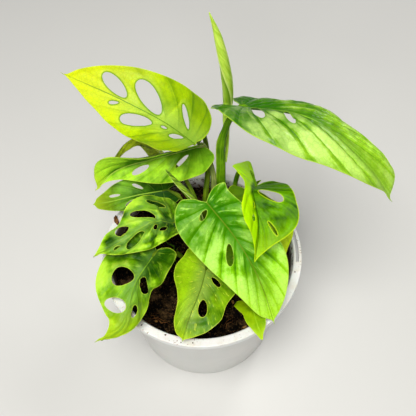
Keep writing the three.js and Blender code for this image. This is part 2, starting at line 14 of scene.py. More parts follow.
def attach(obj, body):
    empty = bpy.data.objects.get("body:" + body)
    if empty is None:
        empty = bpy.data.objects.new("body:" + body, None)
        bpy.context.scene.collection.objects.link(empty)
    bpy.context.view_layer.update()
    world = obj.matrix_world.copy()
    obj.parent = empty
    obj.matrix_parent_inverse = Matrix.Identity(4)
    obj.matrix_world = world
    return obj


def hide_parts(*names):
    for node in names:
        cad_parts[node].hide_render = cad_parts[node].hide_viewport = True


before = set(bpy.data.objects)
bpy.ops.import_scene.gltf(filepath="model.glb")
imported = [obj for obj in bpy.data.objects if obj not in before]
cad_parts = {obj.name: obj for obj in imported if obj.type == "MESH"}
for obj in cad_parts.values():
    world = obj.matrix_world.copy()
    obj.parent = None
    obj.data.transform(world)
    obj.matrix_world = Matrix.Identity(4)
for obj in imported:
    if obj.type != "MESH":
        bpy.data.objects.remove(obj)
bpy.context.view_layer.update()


# ==== The pot ====
# A thin tapering wall of white polypropylene, injection moulded in one piece with its drain holes.
# The rim is a flat flange turned down into a lip, with two curved slots that a hanger clips into.

MM = 0.001
POT_HEIGHT = 88.0
RIM_RADIUS = 60.0
MOUTH_RADIUS = 55.3
BASE_RADIUS = 47.2
WALL = 1.3
POT_FLOOR = 1.8
FLANGE = 1.8
LIP_WALL = 1.1
LIP_DROP = 4.2
SLOT_RADII = (56.5, 58.2)
SLOT_ANGLES = (-9.0, 17.0)
DRAIN_RADIUS = 3.5
DRAIN_CIRCLE = 34.0
DRAIN_COUNT = 8
WALL_SLOPE = (MOUTH_RADIUS + 0.4 - BASE_RADIUS) / POT_HEIGHT


def wall_radius(height):
    return BASE_RADIUS + WALL_SLOPE * height


def add_object(name, data):
    made = bpy.data.objects.new(name, data)
    bpy.context.scene.collection.objects.link(made)
    return made


def mesh_piece(name, points, faces, material=None):
    """A piece from points in millimetres, smooth all over."""
    mesh = bpy.data.meshes.new(name)
    mesh.from_pydata((np.asarray(points, float) * MM).tolist(), [], faces)
    mesh.shade_smooth()
    if material:
        mesh.materials.append(material)
    return add_object(name, mesh)


def full_turn(steps):
    return np.linspace(0, 2 * np.pi, steps, endpoint=False)


def arc(radius, angles):
    return np.column_stack([radius * np.cos(angles), radius * np.sin(angles)])


def softened(profile, radius, steps=4):
    """A profile with rounded corners, and a close point on each side to keep the flats flat."""
    profile = np.asarray(profile, float)
    out = [profile[0]]
    for before, corner, after in zip(profile[:-2], profile[1:-1], profile[2:]):
        to_before = before - corner
        to_after = after - corner
        reach = min(radius, 0.3 * np.linalg.norm(to_before), 0.3 * np.linalg.norm(to_after))
        to_before /= np.linalg.norm(to_before)
        to_after /= np.linalg.norm(to_after)
        out.append(corner + 1.6 * reach * to_before)
        for k in range(steps + 1):
            t = k / steps
            start = corner + reach * to_before
            end = corner + reach * to_after
            out.append((1 - t) ** 2 * start + 2 * t * (1 - t) * corner + t * t * end)
        out.append(corner + 1.6 * reach * to_after)
    out.append(profile[-1])
    return np.array(out)


def ring_faces(rings, sides, flipped=False):
    """Faces over rings of points, and fans to the two end points that come after the rings."""
    start, end, last = rings * sides, rings * sides + 1, (rings - 1) * sides
    faces = []
    for k in range(sides):
        n = (k + 1) % sides
        p, q = (k, n) if flipped else (n, k)
        faces.append((start, p, q))
        for a in range(0, last, sides):
            b = a + sides
            faces.append((a + k, b + k, b + n, a + n) if flipped else (a + k, a + n, b + n, b + k))
        faces.append((end, last + q, last + p))
    return faces


def turned(profile, sectors):
    """Points and faces of a profile turned about the Z axis. It starts and ends on the axis."""
    angles = full_turn(sectors)
    rings = [np.column_stack([arc(r, angles), np.full(sectors, z)]) for r, z in profile[1:-1]]
    points = np.vstack(rings + [[[0, 0, profile[0][1]]], [[0, 0, profile[-1][1]]]])
    return points, ring_faces(len(rings), sectors)


def plug(name, outline, low, high):
    """A closed upright prism on an outline, to cut a hole with."""
    count = len(outline)
    points = [(x, y, low) for x, y in outline] + [(x, y, high) for x, y in outline]
    faces = [tuple(range(count))[::-1], tuple(range(count, 2 * count))]
    faces += [(k, (k + 1) % count, count + (k + 1) % count, count + k) for k in range(count)]
    return mesh_piece(name, points, faces)


def made_plain(piece):
    """Applies the piece's modifiers, which leaves a plain mesh."""
    bpy.context.view_layer.update()
    graph = bpy.context.evaluated_depsgraph_get()
    mesh = bpy.data.meshes.new_from_object(piece.evaluated_get(graph))
    piece.modifiers.clear()
    piece.data = mesh


def cut(piece, plugs):
    """Cuts every plug out of the piece, and removes the plugs."""
    for tool in plugs:
        step = piece.modifiers.new("cut", "BOOLEAN")
        step.object = tool
        step.operation = "DIFFERENCE"
        step.solver = "EXACT"
    made_plain(piece)
    for tool in plugs:
        bpy.data.objects.remove(tool)


class Wire:
    """One output of a node. Wires are added and multiplied like numbers."""

    def __init__(self, node, made, output=0):
        self.node, self.made = node, made
        self.socket = made.outputs[output] if len(made.outputs) else None

    def __getitem__(self, output):
        return Wire(self.node, self.made, output)

    def sum_of(operation, swapped=False):
        def method(self, other=0.0):
            a, b = (other, self) if swapped else (self, other)
            return self.node("Math", {0: a, 1: b}, operation=operation)
        return method

    __add__ = __radd__ = sum_of("ADD")
    __mul__ = __rmul__ = sum_of("MULTIPLY")
    __sub__, __rsub__ = sum_of("SUBTRACT"), sum_of("SUBTRACT", swapped=True)
    __truediv__, __abs__ = sum_of("DIVIDE"), sum_of("ABSOLUTE")
    at_most, at_least = sum_of("MINIMUM"), sum_of("MAXIMUM")
    fract, sign = sum_of("FRACT"), sum_of("SIGN")


def node_maker(tree):
    """A function that adds a node to the tree, with these inputs and settings, as a wire."""

    def give(made, inputs):
        for socket, value in inputs.items():
            if isinstance(value, Wire):
                tree.links.new(value.socket, made.inputs[socket])
            elif made.inputs[socket].type == "RGBA":
                made.inputs[socket].default_value = (*value, 1)
            else:
                made.inputs[socket].default_value = value

    def node(kind, inputs=None, **settings):
        full = kind.startswith(("Geometry", "Function", "NodeGroup"))
        made = tree.nodes.new(kind if full else "ShaderNode" + kind)
        for key, value in settings.items():
            setattr(made, key, value)
        give(made, inputs or {})
        return Wire(node, made)

    node.give = give
    return node


def new_material(name, **sockets):
    """What a finish is mixed from: its maker of nodes, their short forms, and the last step."""
    material = bpy.data.materials.new(name)
    material.use_nodes = True
    node = node_maker(material.node_tree)
    shader = material.node_tree.nodes["Principled BSDF"]
    node.give(shader, {key.replace("_", " "): value for key, value in sockets.items()})

    def fade(value, low, high, from_=0.0, to=1.0):
        return node("MapRange", {
            "Value": value, "From Min": low, "From Max": high, "To Min": from_, "To Max": to,
        }, interpolation_type="SMOOTHSTEP")

    def blend(share, a, b):
        return node("Mix", {"Factor": share, 6: a, 7: b}, data_type="RGBA")[2]

    def grain(vector, scale, detail=3.0, rough=0.55):
        return node("TexNoise", {
            "Vector": vector, "Scale": scale, "Detail": detail, "Roughness": rough,
        })

    def finished(colour, rough=None, height=None, strength=0.0, distance=0.0):
        node.give(shader, {"Base Color": colour})
        if rough:
            bump = node("Bump", {"Height": height, "Strength": strength, "Distance": distance})
            node.give(shader, {"Roughness": rough, "Normal": bump})
        return material

    return node, fade, blend, grain, finished


def pot_plastic():
    node, fade, blend, grain, finished = new_material(
        "white pot plastic", Specular_IOR_Level=0.45, Subsurface_Weight=0.06, Subsurface_Scale=0.004
    )
    place = node("TexCoord")["Object"]
    axes = node("SeparateXYZ", {0: place})
    flat = node("CombineXYZ", {"X": axes["X"], "Y": axes["Y"]})
    radius = node("VectorMath", {0: flat}, operation="LENGTH")["Value"]
    height = axes["Z"]
    white = blend(fade(grain(place, 26.0), 0.3, 0.75), (0.74, 0.75, 0.745), (0.82, 0.825, 0.815))
    # Painted shade: below the rim the wall is made greyer than the rim, for the shade it stands in.
    white = blend(fade(height, 0.0835, 0.0795, 0.0, 0.36), white, (0.43, 0.415, 0.37))
    # Handling leaves faint grey smears on the outside, and watering leaves dust inside the mouth.
    white = blend(fade(grain(place, 55.0, 6.0, 0.7), 0.52, 0.8) * 0.35, white, (0.6, 0.58, 0.53))
    inside = fade(height * WALL_SLOPE + BASE_RADIUS * MM - radius, 0.0005, 0.0009)
    splash = fade(grain(place, 420.0, 5.0, 0.7) + inside * 0.12, 0.6, 0.72)
    dust = inside * splash.at_least(fade(height, 0.0875, 0.0795) * 0.75)
    # Soil was pressed against the mouth on the left, and has left it brown.
    pressed = axes["X"] + grain(place, 260.0, 4.0) * 0.008
    dust = dust.at_least(inside * fade(pressed, -0.04, -0.046, 0.0, 0.95))
    # The rim has yellowed in patches, and specks of soil lie on it in clusters.
    stain = fade(grain(place, 90.0, 5.0, 0.7), 0.42, 0.7) * fade(height, 0.086, 0.088, 0.0, 0.5)
    clusters = fade(grain(place, 70.0, 2.0), 0.42, 0.6) * fade(height, 0.084, 0.0875, 0.0, 0.85)
    specks = fade(grain(place, 850.0, 2.0), 0.62, 0.71) * clusters
    white = blend(stain, white, (0.62, 0.55, 0.4))
    white = blend(specks, white, (0.26, 0.15, 0.07))
    white = blend(dust, white, (0.09, 0.055, 0.03))
    return finished(white, grain(place, 120.0) * 0.16 + 0.3, grain(place, 700.0, 2.0), 0.06, 0.0004)


def make_pot():
    under = POT_HEIGHT - FLANGE
    lip_inside = RIM_RADIUS - LIP_WALL
    lip_foot = POT_HEIGHT - LIP_DROP
    profile = [
        (0, 0), (44.5, 0), (45.2, 0.7), (BASE_RADIUS, 0.7), (wall_radius(under), under),
        (lip_inside, under), (lip_inside, lip_foot), (RIM_RADIUS, lip_foot),
        (RIM_RADIUS, POT_HEIGHT), (MOUTH_RADIUS, POT_HEIGHT),
        (wall_radius(under - 1) - WALL, under - 1), (wall_radius(POT_FLOOR) - WALL, POT_FLOOR),
        (0, POT_FLOOR),
    ]
    rounded = softened(profile, 0.55)
    rounded[0], rounded[-1] = profile[0], profile[-1]
    points, faces = turned(rounded, 144)
    pot = mesh_piece("nursery_pot", points, faces)
    plugs = []
    for turn in (0.0, 180.0):
        sweep = np.radians(np.linspace(SLOT_ANGLES[0] + turn, SLOT_ANGLES[1] + turn, 25))
        outline = np.vstack([arc(SLOT_RADII[1], sweep), arc(SLOT_RADII[0], sweep[::-1])])
        plugs.append(plug("slot_plug", outline, under - 1, POT_HEIGHT + 1))
    for middle in arc(DRAIN_CIRCLE, full_turn(DRAIN_COUNT) + np.pi / DRAIN_COUNT):
        outline = middle + arc(DRAIN_RADIUS, full_turn(28))
        plugs.append(plug("drain_plug", outline, -1, POT_FLOOR + 1))
    cut(pot, plugs)
    pot.data.shade_smooth()
    pot.data.set_sharp_from_angle(angle=np.radians(40))
    pot.data.materials.append(pot_plastic())
    return pot


pot = make_pot()
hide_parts("pot")
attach(pot, "root")


# ==== The soil ====
# Dark, damp potting mix of peat and bark that fills the pot to 9 mm below its rim. Loose crumbs,
# bits of bark and reddish peat fibres lie on it, and water has settled it a little at the wall.

SOIL_TOP = 79.5
SOIL_GAP = 0.3
SOIL_RELIEF = 1.3


def soil_height(x, y):
    """The same shallow mounds as the frame's soil, with small lumps over them."""
    fade = 1 - (np.hypot(x, y) / MOUTH_RADIUS) ** 4
    mounds = np.sin(x * 0.16 + 1) * np.cos(y * 0.13 - 0.6) + 0.5 * np.sin(x * 0.31 - y * 0.27)
    return SOIL_TOP + SOIL_RELIEF * mounds * fade


def soil_colour(name, dark, light, bump):
    node, fade, blend, grain, finished = new_material(name, Specular_IOR_Level=0.05)
    place = node("TexCoord")["Object"]
    patch = fade(grain(place, 130.0, 6.0, 0.7), 0.46, 0.76)
    speck = fade(grain(place, 620.0, 4.0, 0.75), 0.55, 0.68)
    rough = fade(grain(place, 260.0), 0.3, 0.7, 0.72, 0.98)
    colour = blend((patch + speck) * 0.5, dark, light)
    return finished(colour, rough, grain(place, 1400.0, 5.0, 0.7), bump, 0.0006)


def make_soil(material):
    top_radius = wall_radius(SOIL_TOP) - WALL - SOIL_GAP
    low = POT_FLOOR + SOIL_GAP
    low_radius = wall_radius(low) - WALL - SOIL_GAP
    rings, sectors = 70, 180
    points = []
    for ring in range(1, rings + 1):
        settle = 1 - 0.6 * (ring / rings) ** 6
        for x, y in arc(top_radius * ring / rings, full_turn(sectors)):
            lump = noise.noise(Vector((x, y, 3.0)) * 0.35)
            lump += 0.6 * noise.noise(Vector((x, y, 9.0)) * 0.9)
            points.append((x, y, soil_height(x, y) - 0.3 + 0.8 * lump * settle))
    points += [(x, y, low) for x, y in arc(low_radius, full_turn(sectors))]
    points += [(0, 0, soil_height(0, 0)), (0, 0, low)]
    return mesh_piece("soil_mass", points, ring_faces(rings + 1, sectors, flipped=True), material)


def scatter_tree(name, shape, material):
    """Geometry Nodes that strew a shape over a surface, each copy with its own turn and size."""
    tree = bpy.data.node_groups.new(name, "GeometryNodeTree")
    tree.interface.new_socket("Copies", in_out="OUTPUT", socket_type="NodeSocketGeometry")
    labels = ("Surface", "Per square metre", "Smallest", "Largest", "Lie flat", "Lift", "Seed")
    kinds = ("Geometry", "Float", "Float", "Float", "Float", "Float", "Int")
    for label, kind in zip(labels, kinds):
        tree.interface.new_socket(label, in_out="INPUT", socket_type="NodeSocket" + kind)
    node = node_maker(tree)
    given = node("NodeGroupInput")
    seed = given["Seed"]
    spread = node(
        "GeometryNodeDistributePointsOnFaces",
        {"Mesh": given["Surface"], "Density": given["Per square metre"], "Seed": seed},
        distribute_method="RANDOM",
    )
    source = node("GeometryNodeObjectInfo", {"Object": shape})["Geometry"]
    tilt = node(
        "FunctionNodeRandomValue", {0: (-3.14, -3.14, -3.14), 1: (3.14, 3.14, 3.14), "Seed": seed},
        data_type="FLOAT_VECTOR",
    )
    upright = 1.0 - given["Lie flat"]
    lean = node("CombineXYZ", {"X": upright, "Y": upright, "Z": 1.0})
    turn = node("VectorMath", {0: tilt, 1: lean}, operation="MULTIPLY")
    size = node(
        "FunctionNodeRandomValue", {2: given["Smallest"], 3: given["Largest"], "Seed": seed},
        data_type="FLOAT",
    )[1]
    copies = node("GeometryNodeInstanceOnPoints", {
        "Points": spread["Points"], "Instance": source, "Rotation": turn, "Scale": size,
    })
    raised = node("CombineXYZ", {"Z": given["Lift"]})
    lifted = node("GeometryNodeTranslateInstances", {"Instances": copies, "Translation": raised})
    real = node("GeometryNodeRealizeInstances", {"Geometry": lifted})
    painted = node("GeometryNodeSetMaterial", {"Geometry": real, "Material": material})
    node("NodeGroupOutput", {"Copies": painted})
    return tree


def strewn(name, surface, shape, material, values):
    """A plain mesh of copies strewn over a surface; the surface and the shape stay as they are."""
    piece = add_object(name, surface.data.copy())
    tree = scatter_tree(name + " tree", shape, material)
    step = piece.modifiers.new("strewn", "NODES")
    step.node_group = tree
    for item in tree.interface.items_tree:
        if item.in_out == "INPUT" and item.name in values:
            step[item.identifier] = values[item.name]
    made_plain(piece)
    return piece


def crumb(name, squash, seed, segments=(7, 5)):
    """One lump about 1 mm across, uneven all round."""
    around, up = segments
    points = []
    for i in range(1, up):
        lean = np.pi * i / up
        for k in range(around):
            turn = 2 * np.pi * k / around
            spot = Vector((np.sin(lean) * np.cos(turn), np.sin(lean) * np.sin(turn), -np.cos(lean)))
            reach = 0.5 * (1 + 0.55 * noise.noise(spot * 1.7 + Vector((seed, 0, 0))))
            points.append((spot.x * reach, spot.y * reach, spot.z * reach * squash))
    points += [(0, 0, -0.5 * squash), (0, 0, 0.5 * squash)]
    return mesh_piece(name, points, ring_faces(up - 1, around))


def fibre(name, seed):
    """One bent peat fibre about 10 mm long, three-sided and pointed."""
    chance = np.random.default_rng(seed)
    bend = np.cumsum(chance.normal(0, 0.35, (9, 3)), axis=0) * [1, 1, 0.35]
    line = np.column_stack([np.linspace(-5, 5, 9), np.zeros(9), np.zeros(9)]) + bend - bend.mean(0)
    points, faces = [], []
    for i, spot in enumerate(line):
        thick = 0.15 * (1 - abs(i - 4) / 4.6)
        for k in range(3):
            turn = 2 * np.pi * k / 3
            points.append(spot + [0, thick * np.cos(turn), thick * np.sin(turn)])
    for i in range(8):
        for k in range(3):
            n = (k + 1) % 3
            faces.append((3 * i + k, 3 * i + 3 + k, 3 * i + 3 + n, 3 * i + n))
    faces += [(0, 1, 2), (26, 25, 24)]
    return mesh_piece(name, points, faces)


soil_dark = soil_colour("damp peat", (0.0008, 0.0005, 0.0003), (0.2, 0.115, 0.045), 1.0)
bark_brown = soil_colour("bark bits", (0.02, 0.008, 0.003), (0.4, 0.22, 0.07), 0.7)
fibre_red = soil_colour("peat fibres", (0.1, 0.04, 0.012), (0.36, 0.18, 0.06), 0.2)

LITTER_FROM = 0.0765
soil = make_soil(soil_dark)
top_only = mesh_piece("soil_top", [v.co * 1000 for v in soil.data.vertices], [
    tuple(f.vertices) for f in soil.data.polygons if f.center.z > LITTER_FROM and f.normal.z > 0.3
])
lumps = [crumb("lump", 0.75, 1.0), crumb("chip", 0.4, 5.0, (5, 4)), fibre("strand", 4)]
many = 1.0
for name, shape, material, per_m2, smallest, largest, seed, lie_flat, lift in (
    ("soil_crumbs", lumps[0], soil_dark, 260000, 0.6, 2.4, 11, 0.0, 0.3),
    ("soil_bark", lumps[1], bark_brown, 40000, 0.7, 2.4, 12, 0.4, 0.8),
    ("soil_fibres", lumps[2], fibre_red, 9000, 0.35, 1.2, 13, 0.95, 1.3),
):
    bits = strewn(name, top_only, shape, material, {
        "Per square metre": per_m2 * many, "Smallest": smallest, "Largest": largest,
        "Lie flat": lie_flat, "Lift": lift * MM, "Seed": seed,
    })
    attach(bits, "root")


def laid(name, shape, material, spots):
    """One piece of a few copies laid one by one: x, y, z, the size along three ways, and the turn.
    """
    shape_points = np.array([v.co * 1000 for v in shape.data.vertices])
    shape_faces = [tuple(f.vertices) for f in shape.data.polygons]
    points, faces = [], []
    for copy, (x, y, z, long, wide, high, turn) in enumerate(spots):
        c, s = np.cos(np.radians(turn)), np.sin(np.radians(turn))
        sx, sy, sz = (shape_points * [long, wide, high]).T
        points.append(np.column_stack([x + c * sx - s * sy, y + s * sx + c * sy, z + sz]))
        faces += [tuple(copy * len(shape_points) + k for k in f) for f in shape_faces]
    bits = mesh_piece(name, np.vstack(points), faces, material)
    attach(bits, "root")


# A few bits lie where they fell: a splinter of bark and crumbs on the rim, tan chips and red fibres
# on the mix, and the dry green foot of an old stalk.
tan_chip = soil_colour("tan chips", (0.16, 0.08, 0.02), (0.6, 0.42, 0.18), 0.4)
old_green = soil_colour("old stalk", (0.05, 0.12, 0.003), (0.3, 0.42, 0.03), 0.2)
round_lump = crumb("round lump", 0.9, 3.0, (12, 8))
laid("rim_crumbs", round_lump, bark_brown, [
    (-20.9, -52.6, 88.2, 1.2, 0.6, 0.7, 20), (-12.3, -57.2, 88.2, 0.9, 0.5, 0.6, 70),
    (-5.8, -57.6, 88.2, 0.7, 0.6, 0.6, 0), (-34.3, -46.6, 88.2, 1.0, 0.6, 0.7, 40),
    (54.4, -15.9, 88.2, 0.8, 0.6, 0.7, 0), (-36.5, -44.2, 88.1, 0.5, 0.4, 0.4, 0),
])
laid("rim_splinter", round_lump, fibre_red, [(-53.2, 22.9, 89.0, 7.5, 2.6, 2.0, -67)])
laid("tan_chips", round_lump, tan_chip, [
    (23.7, -46.3, 80.9, 3.2, 1.6, 1.0, 30), (17.5, -30.8, 81.0, 2.6, 1.5, 1.0, 110),
    (51.3, -0.6, 80.9, 2.6, 1.6, 1.2, 80), (-27.0, -41.5, 80.8, 2.2, 1.2, 0.8, 0),
])
laid("red_fibres", lumps[2], fibre_red, [
    (-26.0, -40.4, 81.0, 1.1, 2.4, 2.4, 4), (-24.0, -41.6, 81.3, 0.9, 2.4, 2.4, 172),
    (-28.5, -39.0, 80.9, 0.7, 2.2, 2.2, -25), (14.5, -44.5, 81.0, 0.8, 2.2, 2.2, 60),
])
laid("old_stalk_foot", lumps[2], old_green, [
    (-19.0, 4.6, 82.2, 1.6, 6.0, 6.0, -48), (-15.6, 1.0, 81.6, 0.9, 5.0, 5.0, -70),
])
for helper in [top_only, round_lump] + lumps:
    bpy.data.objects.remove(helper)

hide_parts("soil")
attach(soil, "root")


# ==== The tall yellow-green leaf at the upper left ====
# The oldest sunlit leaf: a heart with seven holes, thin and satin, its veins sunk and paler than the
# blade. Blade, midrib and stalk are one growth; the stalk comes up from the soil behind it.

STATIONS = (0.03, 0.2, 0.4, 0.6, 0.78, 0.9)
BLADE_THICKNESS = 0.5
MIDRIB_GROOVE = 0.34
MIDRIB_RIDGE = 0.85
MARGIN_RIPPLE = 0.35
NET_SPACING = 0.8
HEM_WIDTH = 0.42
FAR = 99.0
STALK_FOOT = 68.0
STALK_RISE = SOIL_TOP + 1.5
STALK_STEP = 0.9
STALK_SIDES = 28
RIB_STEPS = 120
VEIN_SWEEP = 2.6


def spline(points, places):
    """A smooth curve through points; places run from 0 to 1 evenly from point to point."""
    points = np.asarray(points, float)
    last = len(points) - 1
    spot = np.asarray(places, float) * last
    i = np.clip(np.floor(spot).astype(int), 0, last - 1)
    t = (spot - i)[..., None]
    here, ahead = points[i], points[i + 1]
    before = np.where((i > 0)[..., None], points[np.maximum(i - 1, 0)], 2 * here - ahead)
    after = np.where((i + 2 <= last)[..., None], points[np.minimum(i + 2, last)], 2 * ahead - here)
    return 0.5 * (
        2 * here + (ahead - before) * t + (2 * before - 5 * here + 4 * ahead - after) * t ** 2
        + (3 * here - before - 3 * ahead + after) * t ** 3
    )


def unit(v):
    return v / np.linalg.norm(v, axis=-1, keepdims=True)


class LeafForm:
    """Where the flat leaf lies in space. x runs along the midrib from the joint, y across it."""

    def __init__(self, leaf):
        self.leaf = leaf
        rib = np.array(leaf["rib"], float)
        knots = np.vstack([rib[0] - 0.5 * (rib[1] - rib[0]), rib])
        places = np.linspace(0, 1, RIB_STEPS + 1)
        self.points = spline(knots, places)
        step = 1e-4
        self.along = unit(
            spline(knots, np.minimum(places + step, 1)) - spline(knots, np.maximum(places - step, 0))
        )
        run = np.concatenate([[0], np.cumsum(np.linalg.norm(np.diff(self.points, axis=0), axis=1))])
        self.x = run - run[RIB_STEPS // 4]
        self.length = self.x[-1]
        middle = int(np.searchsorted(self.x, 0.45 * self.length))
        self.up = np.zeros_like(self.points)
        self.up[middle] = self.square(np.array(leaf["face"], float), self.along[middle])
        for i in range(middle + 1, RIB_STEPS + 1):
            self.up[i] = self.square(self.up[i - 1], self.along[i])
        for i in range(middle - 1, -1, -1):
            self.up[i] = self.square(self.up[i + 1], self.along[i])
        self.half_width = {s: max(leaf[s][1:]) for s in ("left", "right")}
        self.margin = {s: self.margin_of(leaf[s]) for s in ("left", "right")}

    @staticmethod
    def square(direction, along):
        return unit(direction - along * np.sum(direction * along, axis=-1, keepdims=True))

    def margin_of(self, widths):
        lobe, halves = widths[0], widths[1:]
        widest = max(halves)
        knots = [(-0.6 * lobe, 0.18 * widest), (-lobe, 0.45 * widest), (-0.65 * lobe, 0.74 * widest)]
        knots += [(s * self.length, w) for s, w in zip(STATIONS, halves)]
        knots += [(0.96 * self.length, 0.9), (self.length, 0)]
        return spline(knots, np.linspace(0, 1, 1201))

    def margin_at(self, side, u):
        table = self.margin[side]
        places = np.linspace(0, 1, len(table))
        return np.interp(u, places, table[:, 0]), np.maximum(np.interp(u, places, table[:, 1]), 0)

    def flat(self, side, u, v):
        """The vein that starts u of the way up the midrib, followed v of the way to the margin."""
        edge_x, edge_y = self.margin_at(side, u)
        root = self.length * u ** self.leaf.get("sweep", VEIN_SWEEP)
        bend = root + (0.5 - 0.25 * u) * (edge_x - root)
        x = (1 - v) ** 2 * root + 2 * v * (1 - v) * bend + v * v * edge_x
        y = 2 * v * (1 - v) * 0.58 * edge_y + v * v * edge_y
        return x, (y if side == "left" else -y)

    def frame_at(self, x):
        k = np.clip(np.searchsorted(self.x, x), 1, RIB_STEPS)
        share = ((x - self.x[k - 1]) / (self.x[k] - self.x[k - 1]))[..., None]
        held = np.clip(share, 0, 1)
        point = self.points[k - 1] + (self.points[k] - self.points[k - 1]) * share
        along = unit(self.along[k - 1] + (self.along[k] - self.along[k - 1]) * held)
        up = self.square(self.up[k - 1] + (self.up[k] - self.up[k - 1]) * held, along)
        at_joint, at_tip = self.leaf["twist"]
        turn = np.radians(np.interp(x / self.length, [0, 0.45, 1], [at_joint, 0, at_tip]))[..., None]
        across = np.cross(up, along)
        return (
            point, along, up * np.cos(turn) + across * np.sin(turn),
            across * np.cos(turn) - up * np.sin(turn),
        )

    def place(self, x, y):
        """Points in space, and the way the upper face looks there."""
        share = x / self.length
        left = y >= 0
        sign = np.where(left, 1.0, -1.0)
        reach = np.abs(y)
        point, along, up, across = self.frame_at(x)

        def between(values):
            both = [np.interp(share, [0, 0.5, 1], values[s]) for s in (0, 1)]
            return np.radians(np.where(left, both[0], both[1]))

        width = np.where(left, self.half_width["left"], self.half_width["right"])
        fold = between(self.leaf["fold"])
        bend = between(self.leaf["curl"]) / width
        bend = np.where(np.abs(bend) < 1e-7, 1e-7, bend)
        turn = fold + bend * reach
        out = (np.sin(turn) - np.sin(fold)) / bend
        rise = (np.cos(fold) - np.cos(turn)) / bend
        height, count = self.leaf.get("wave", (0, 3))
        phase = np.where(left, 0.0, 1.3)
        wave = height * np.sin(2 * np.pi * count * share + phase) * (reach / width) ** 2
        normal = up * np.cos(turn)[..., None] - across * (sign * np.sin(turn))[..., None]
        spot = point + across * (sign * out)[..., None] + up * rise[..., None]
        return spot + normal * wave[..., None], normal

    def outline(self, spacing):
        """The whole margin in the flat leaf, anticlockwise from the joint, evenly spaced."""
        right = np.column_stack(self.flat("right", np.linspace(0, 1, 900), 1.0))
        left = np.column_stack(self.flat("left", np.linspace(1, 0, 900), 1.0))
        sinus_out = np.column_stack(self.flat("right", 0.0, np.linspace(0, 1, 60)))
        sinus_in = np.column_stack(self.flat("left", 0.0, np.linspace(1, 0, 60)))
        line = np.vstack([sinus_out[:-1], right[:-1], left[:-1], sinus_in[:-1]])
        return evenly(line, spacing, closed=True)

    def veins_at(self, x, y):
        """u and v of flat points: near ones from a dense net, then drawn in by a few steps."""
        u, v = np.zeros(len(x)), np.zeros(len(x))
        for side, mask in (("left", y >= 0), ("right", y < 0)):
            picks = np.nonzero(mask)[0]
            net_u, net_v = np.meshgrid(np.linspace(0, 1, 160), np.linspace(0, 1, 50), indexing="ij")
            net_u, net_v = net_u.ravel(), net_v.ravel()
            net = np.column_stack(self.flat(side, net_u, net_v))
            near, _ = nearest(np.column_stack([x, y])[picks], net)
            su, sv = net_u[near], net_v[near]
            for _ in range(3):
                px, py = self.flat(side, su, sv)
                ux, uy = self.flat(side, np.minimum(su + 1e-3, 1), sv)
                vx, vy = self.flat(side, su, np.minimum(sv + 1e-3, 1))
                du_x, du_y = (ux - px) / 1e-3, (uy - py) / 1e-3
                dv_x, dv_y = (vx - px) / 1e-3, (vy - py) / 1e-3
                gap_x, gap_y = x[picks] - px, y[picks] - py
                area = du_x * dv_y - du_y * dv_x
                area = np.where(np.abs(area) < 1.0, np.where(area < 0, -1.0, 1.0), area)
                step_u = np.clip((gap_x * dv_y - gap_y * dv_x) / area, -0.01, 0.01)
                step_v = np.clip((du_x * gap_y - du_y * gap_x) / area, -0.03, 0.03)
                su, sv = np.clip(su + step_u, 0, 1), np.clip(sv + step_v, 0, 1)
            u[picks], v[picks] = su, sv
        return u, v


def evenly(line, spacing, closed=False):
    """Points at even distances along a line."""
    line = np.asarray(line, float)
    if closed:
        line = np.vstack([line, line[:1]])
    run = np.concatenate([[0], np.cumsum(np.linalg.norm(np.diff(line, axis=0), axis=1))])
    count = max(int(round(run[-1] / spacing)), 3)
    places = np.linspace(0, run[-1], count + 1)
    if closed:
        places = places[:-1]
    return np.column_stack([np.interp(places, run, line[:, k]) for k in range(line.shape[1])])


def inside(points, loop):
    """Which points lie inside a closed loop."""
    x, y = points[:, 0][:, None], points[:, 1][:, None]
    ax, ay = loop[:, 0][None], loop[:, 1][None]
    bx, by = np.roll(loop[:, 0], -1)[None], np.roll(loop[:, 1], -1)[None]
    crosses = (ay > y) != (by > y)
    with np.errstate(divide="ignore", invalid="ignore"):
        at = ax + (y - ay) / (by - ay) * (bx - ax)
    return (np.sum(crosses & (x < at), axis=1) % 2) == 1


def hole_loop(hole, spacing):
    x, y, length, width, turn = hole
    angle = full_turn(max(int(np.pi * (length + width) / 2 / spacing), 18))
    # A hole is egg-shaped: blunter at its end toward the margin.
    along = 0.5 * length * np.cos(angle)
    over = 0.5 * width * np.sin(angle) * (1 + 0.16 * np.cos(angle))
    c, s = np.cos(np.radians(turn)), np.sin(np.radians(turn))
    return np.column_stack([x + along * c - over * s, y + along * s + over * c])


def nearest(points, spots):
    """Which spot is nearest to each point, and how far it is."""
    tree = KDTree(len(spots))
    for i, (x, y) in enumerate(spots):
        tree.insert((x, y, 0), i)
    tree.balance()
    found = [tree.find((x, y, 0)) for x, y in points]
    return np.array([f[1] for f in found], int), np.array([f[2] for f in found])


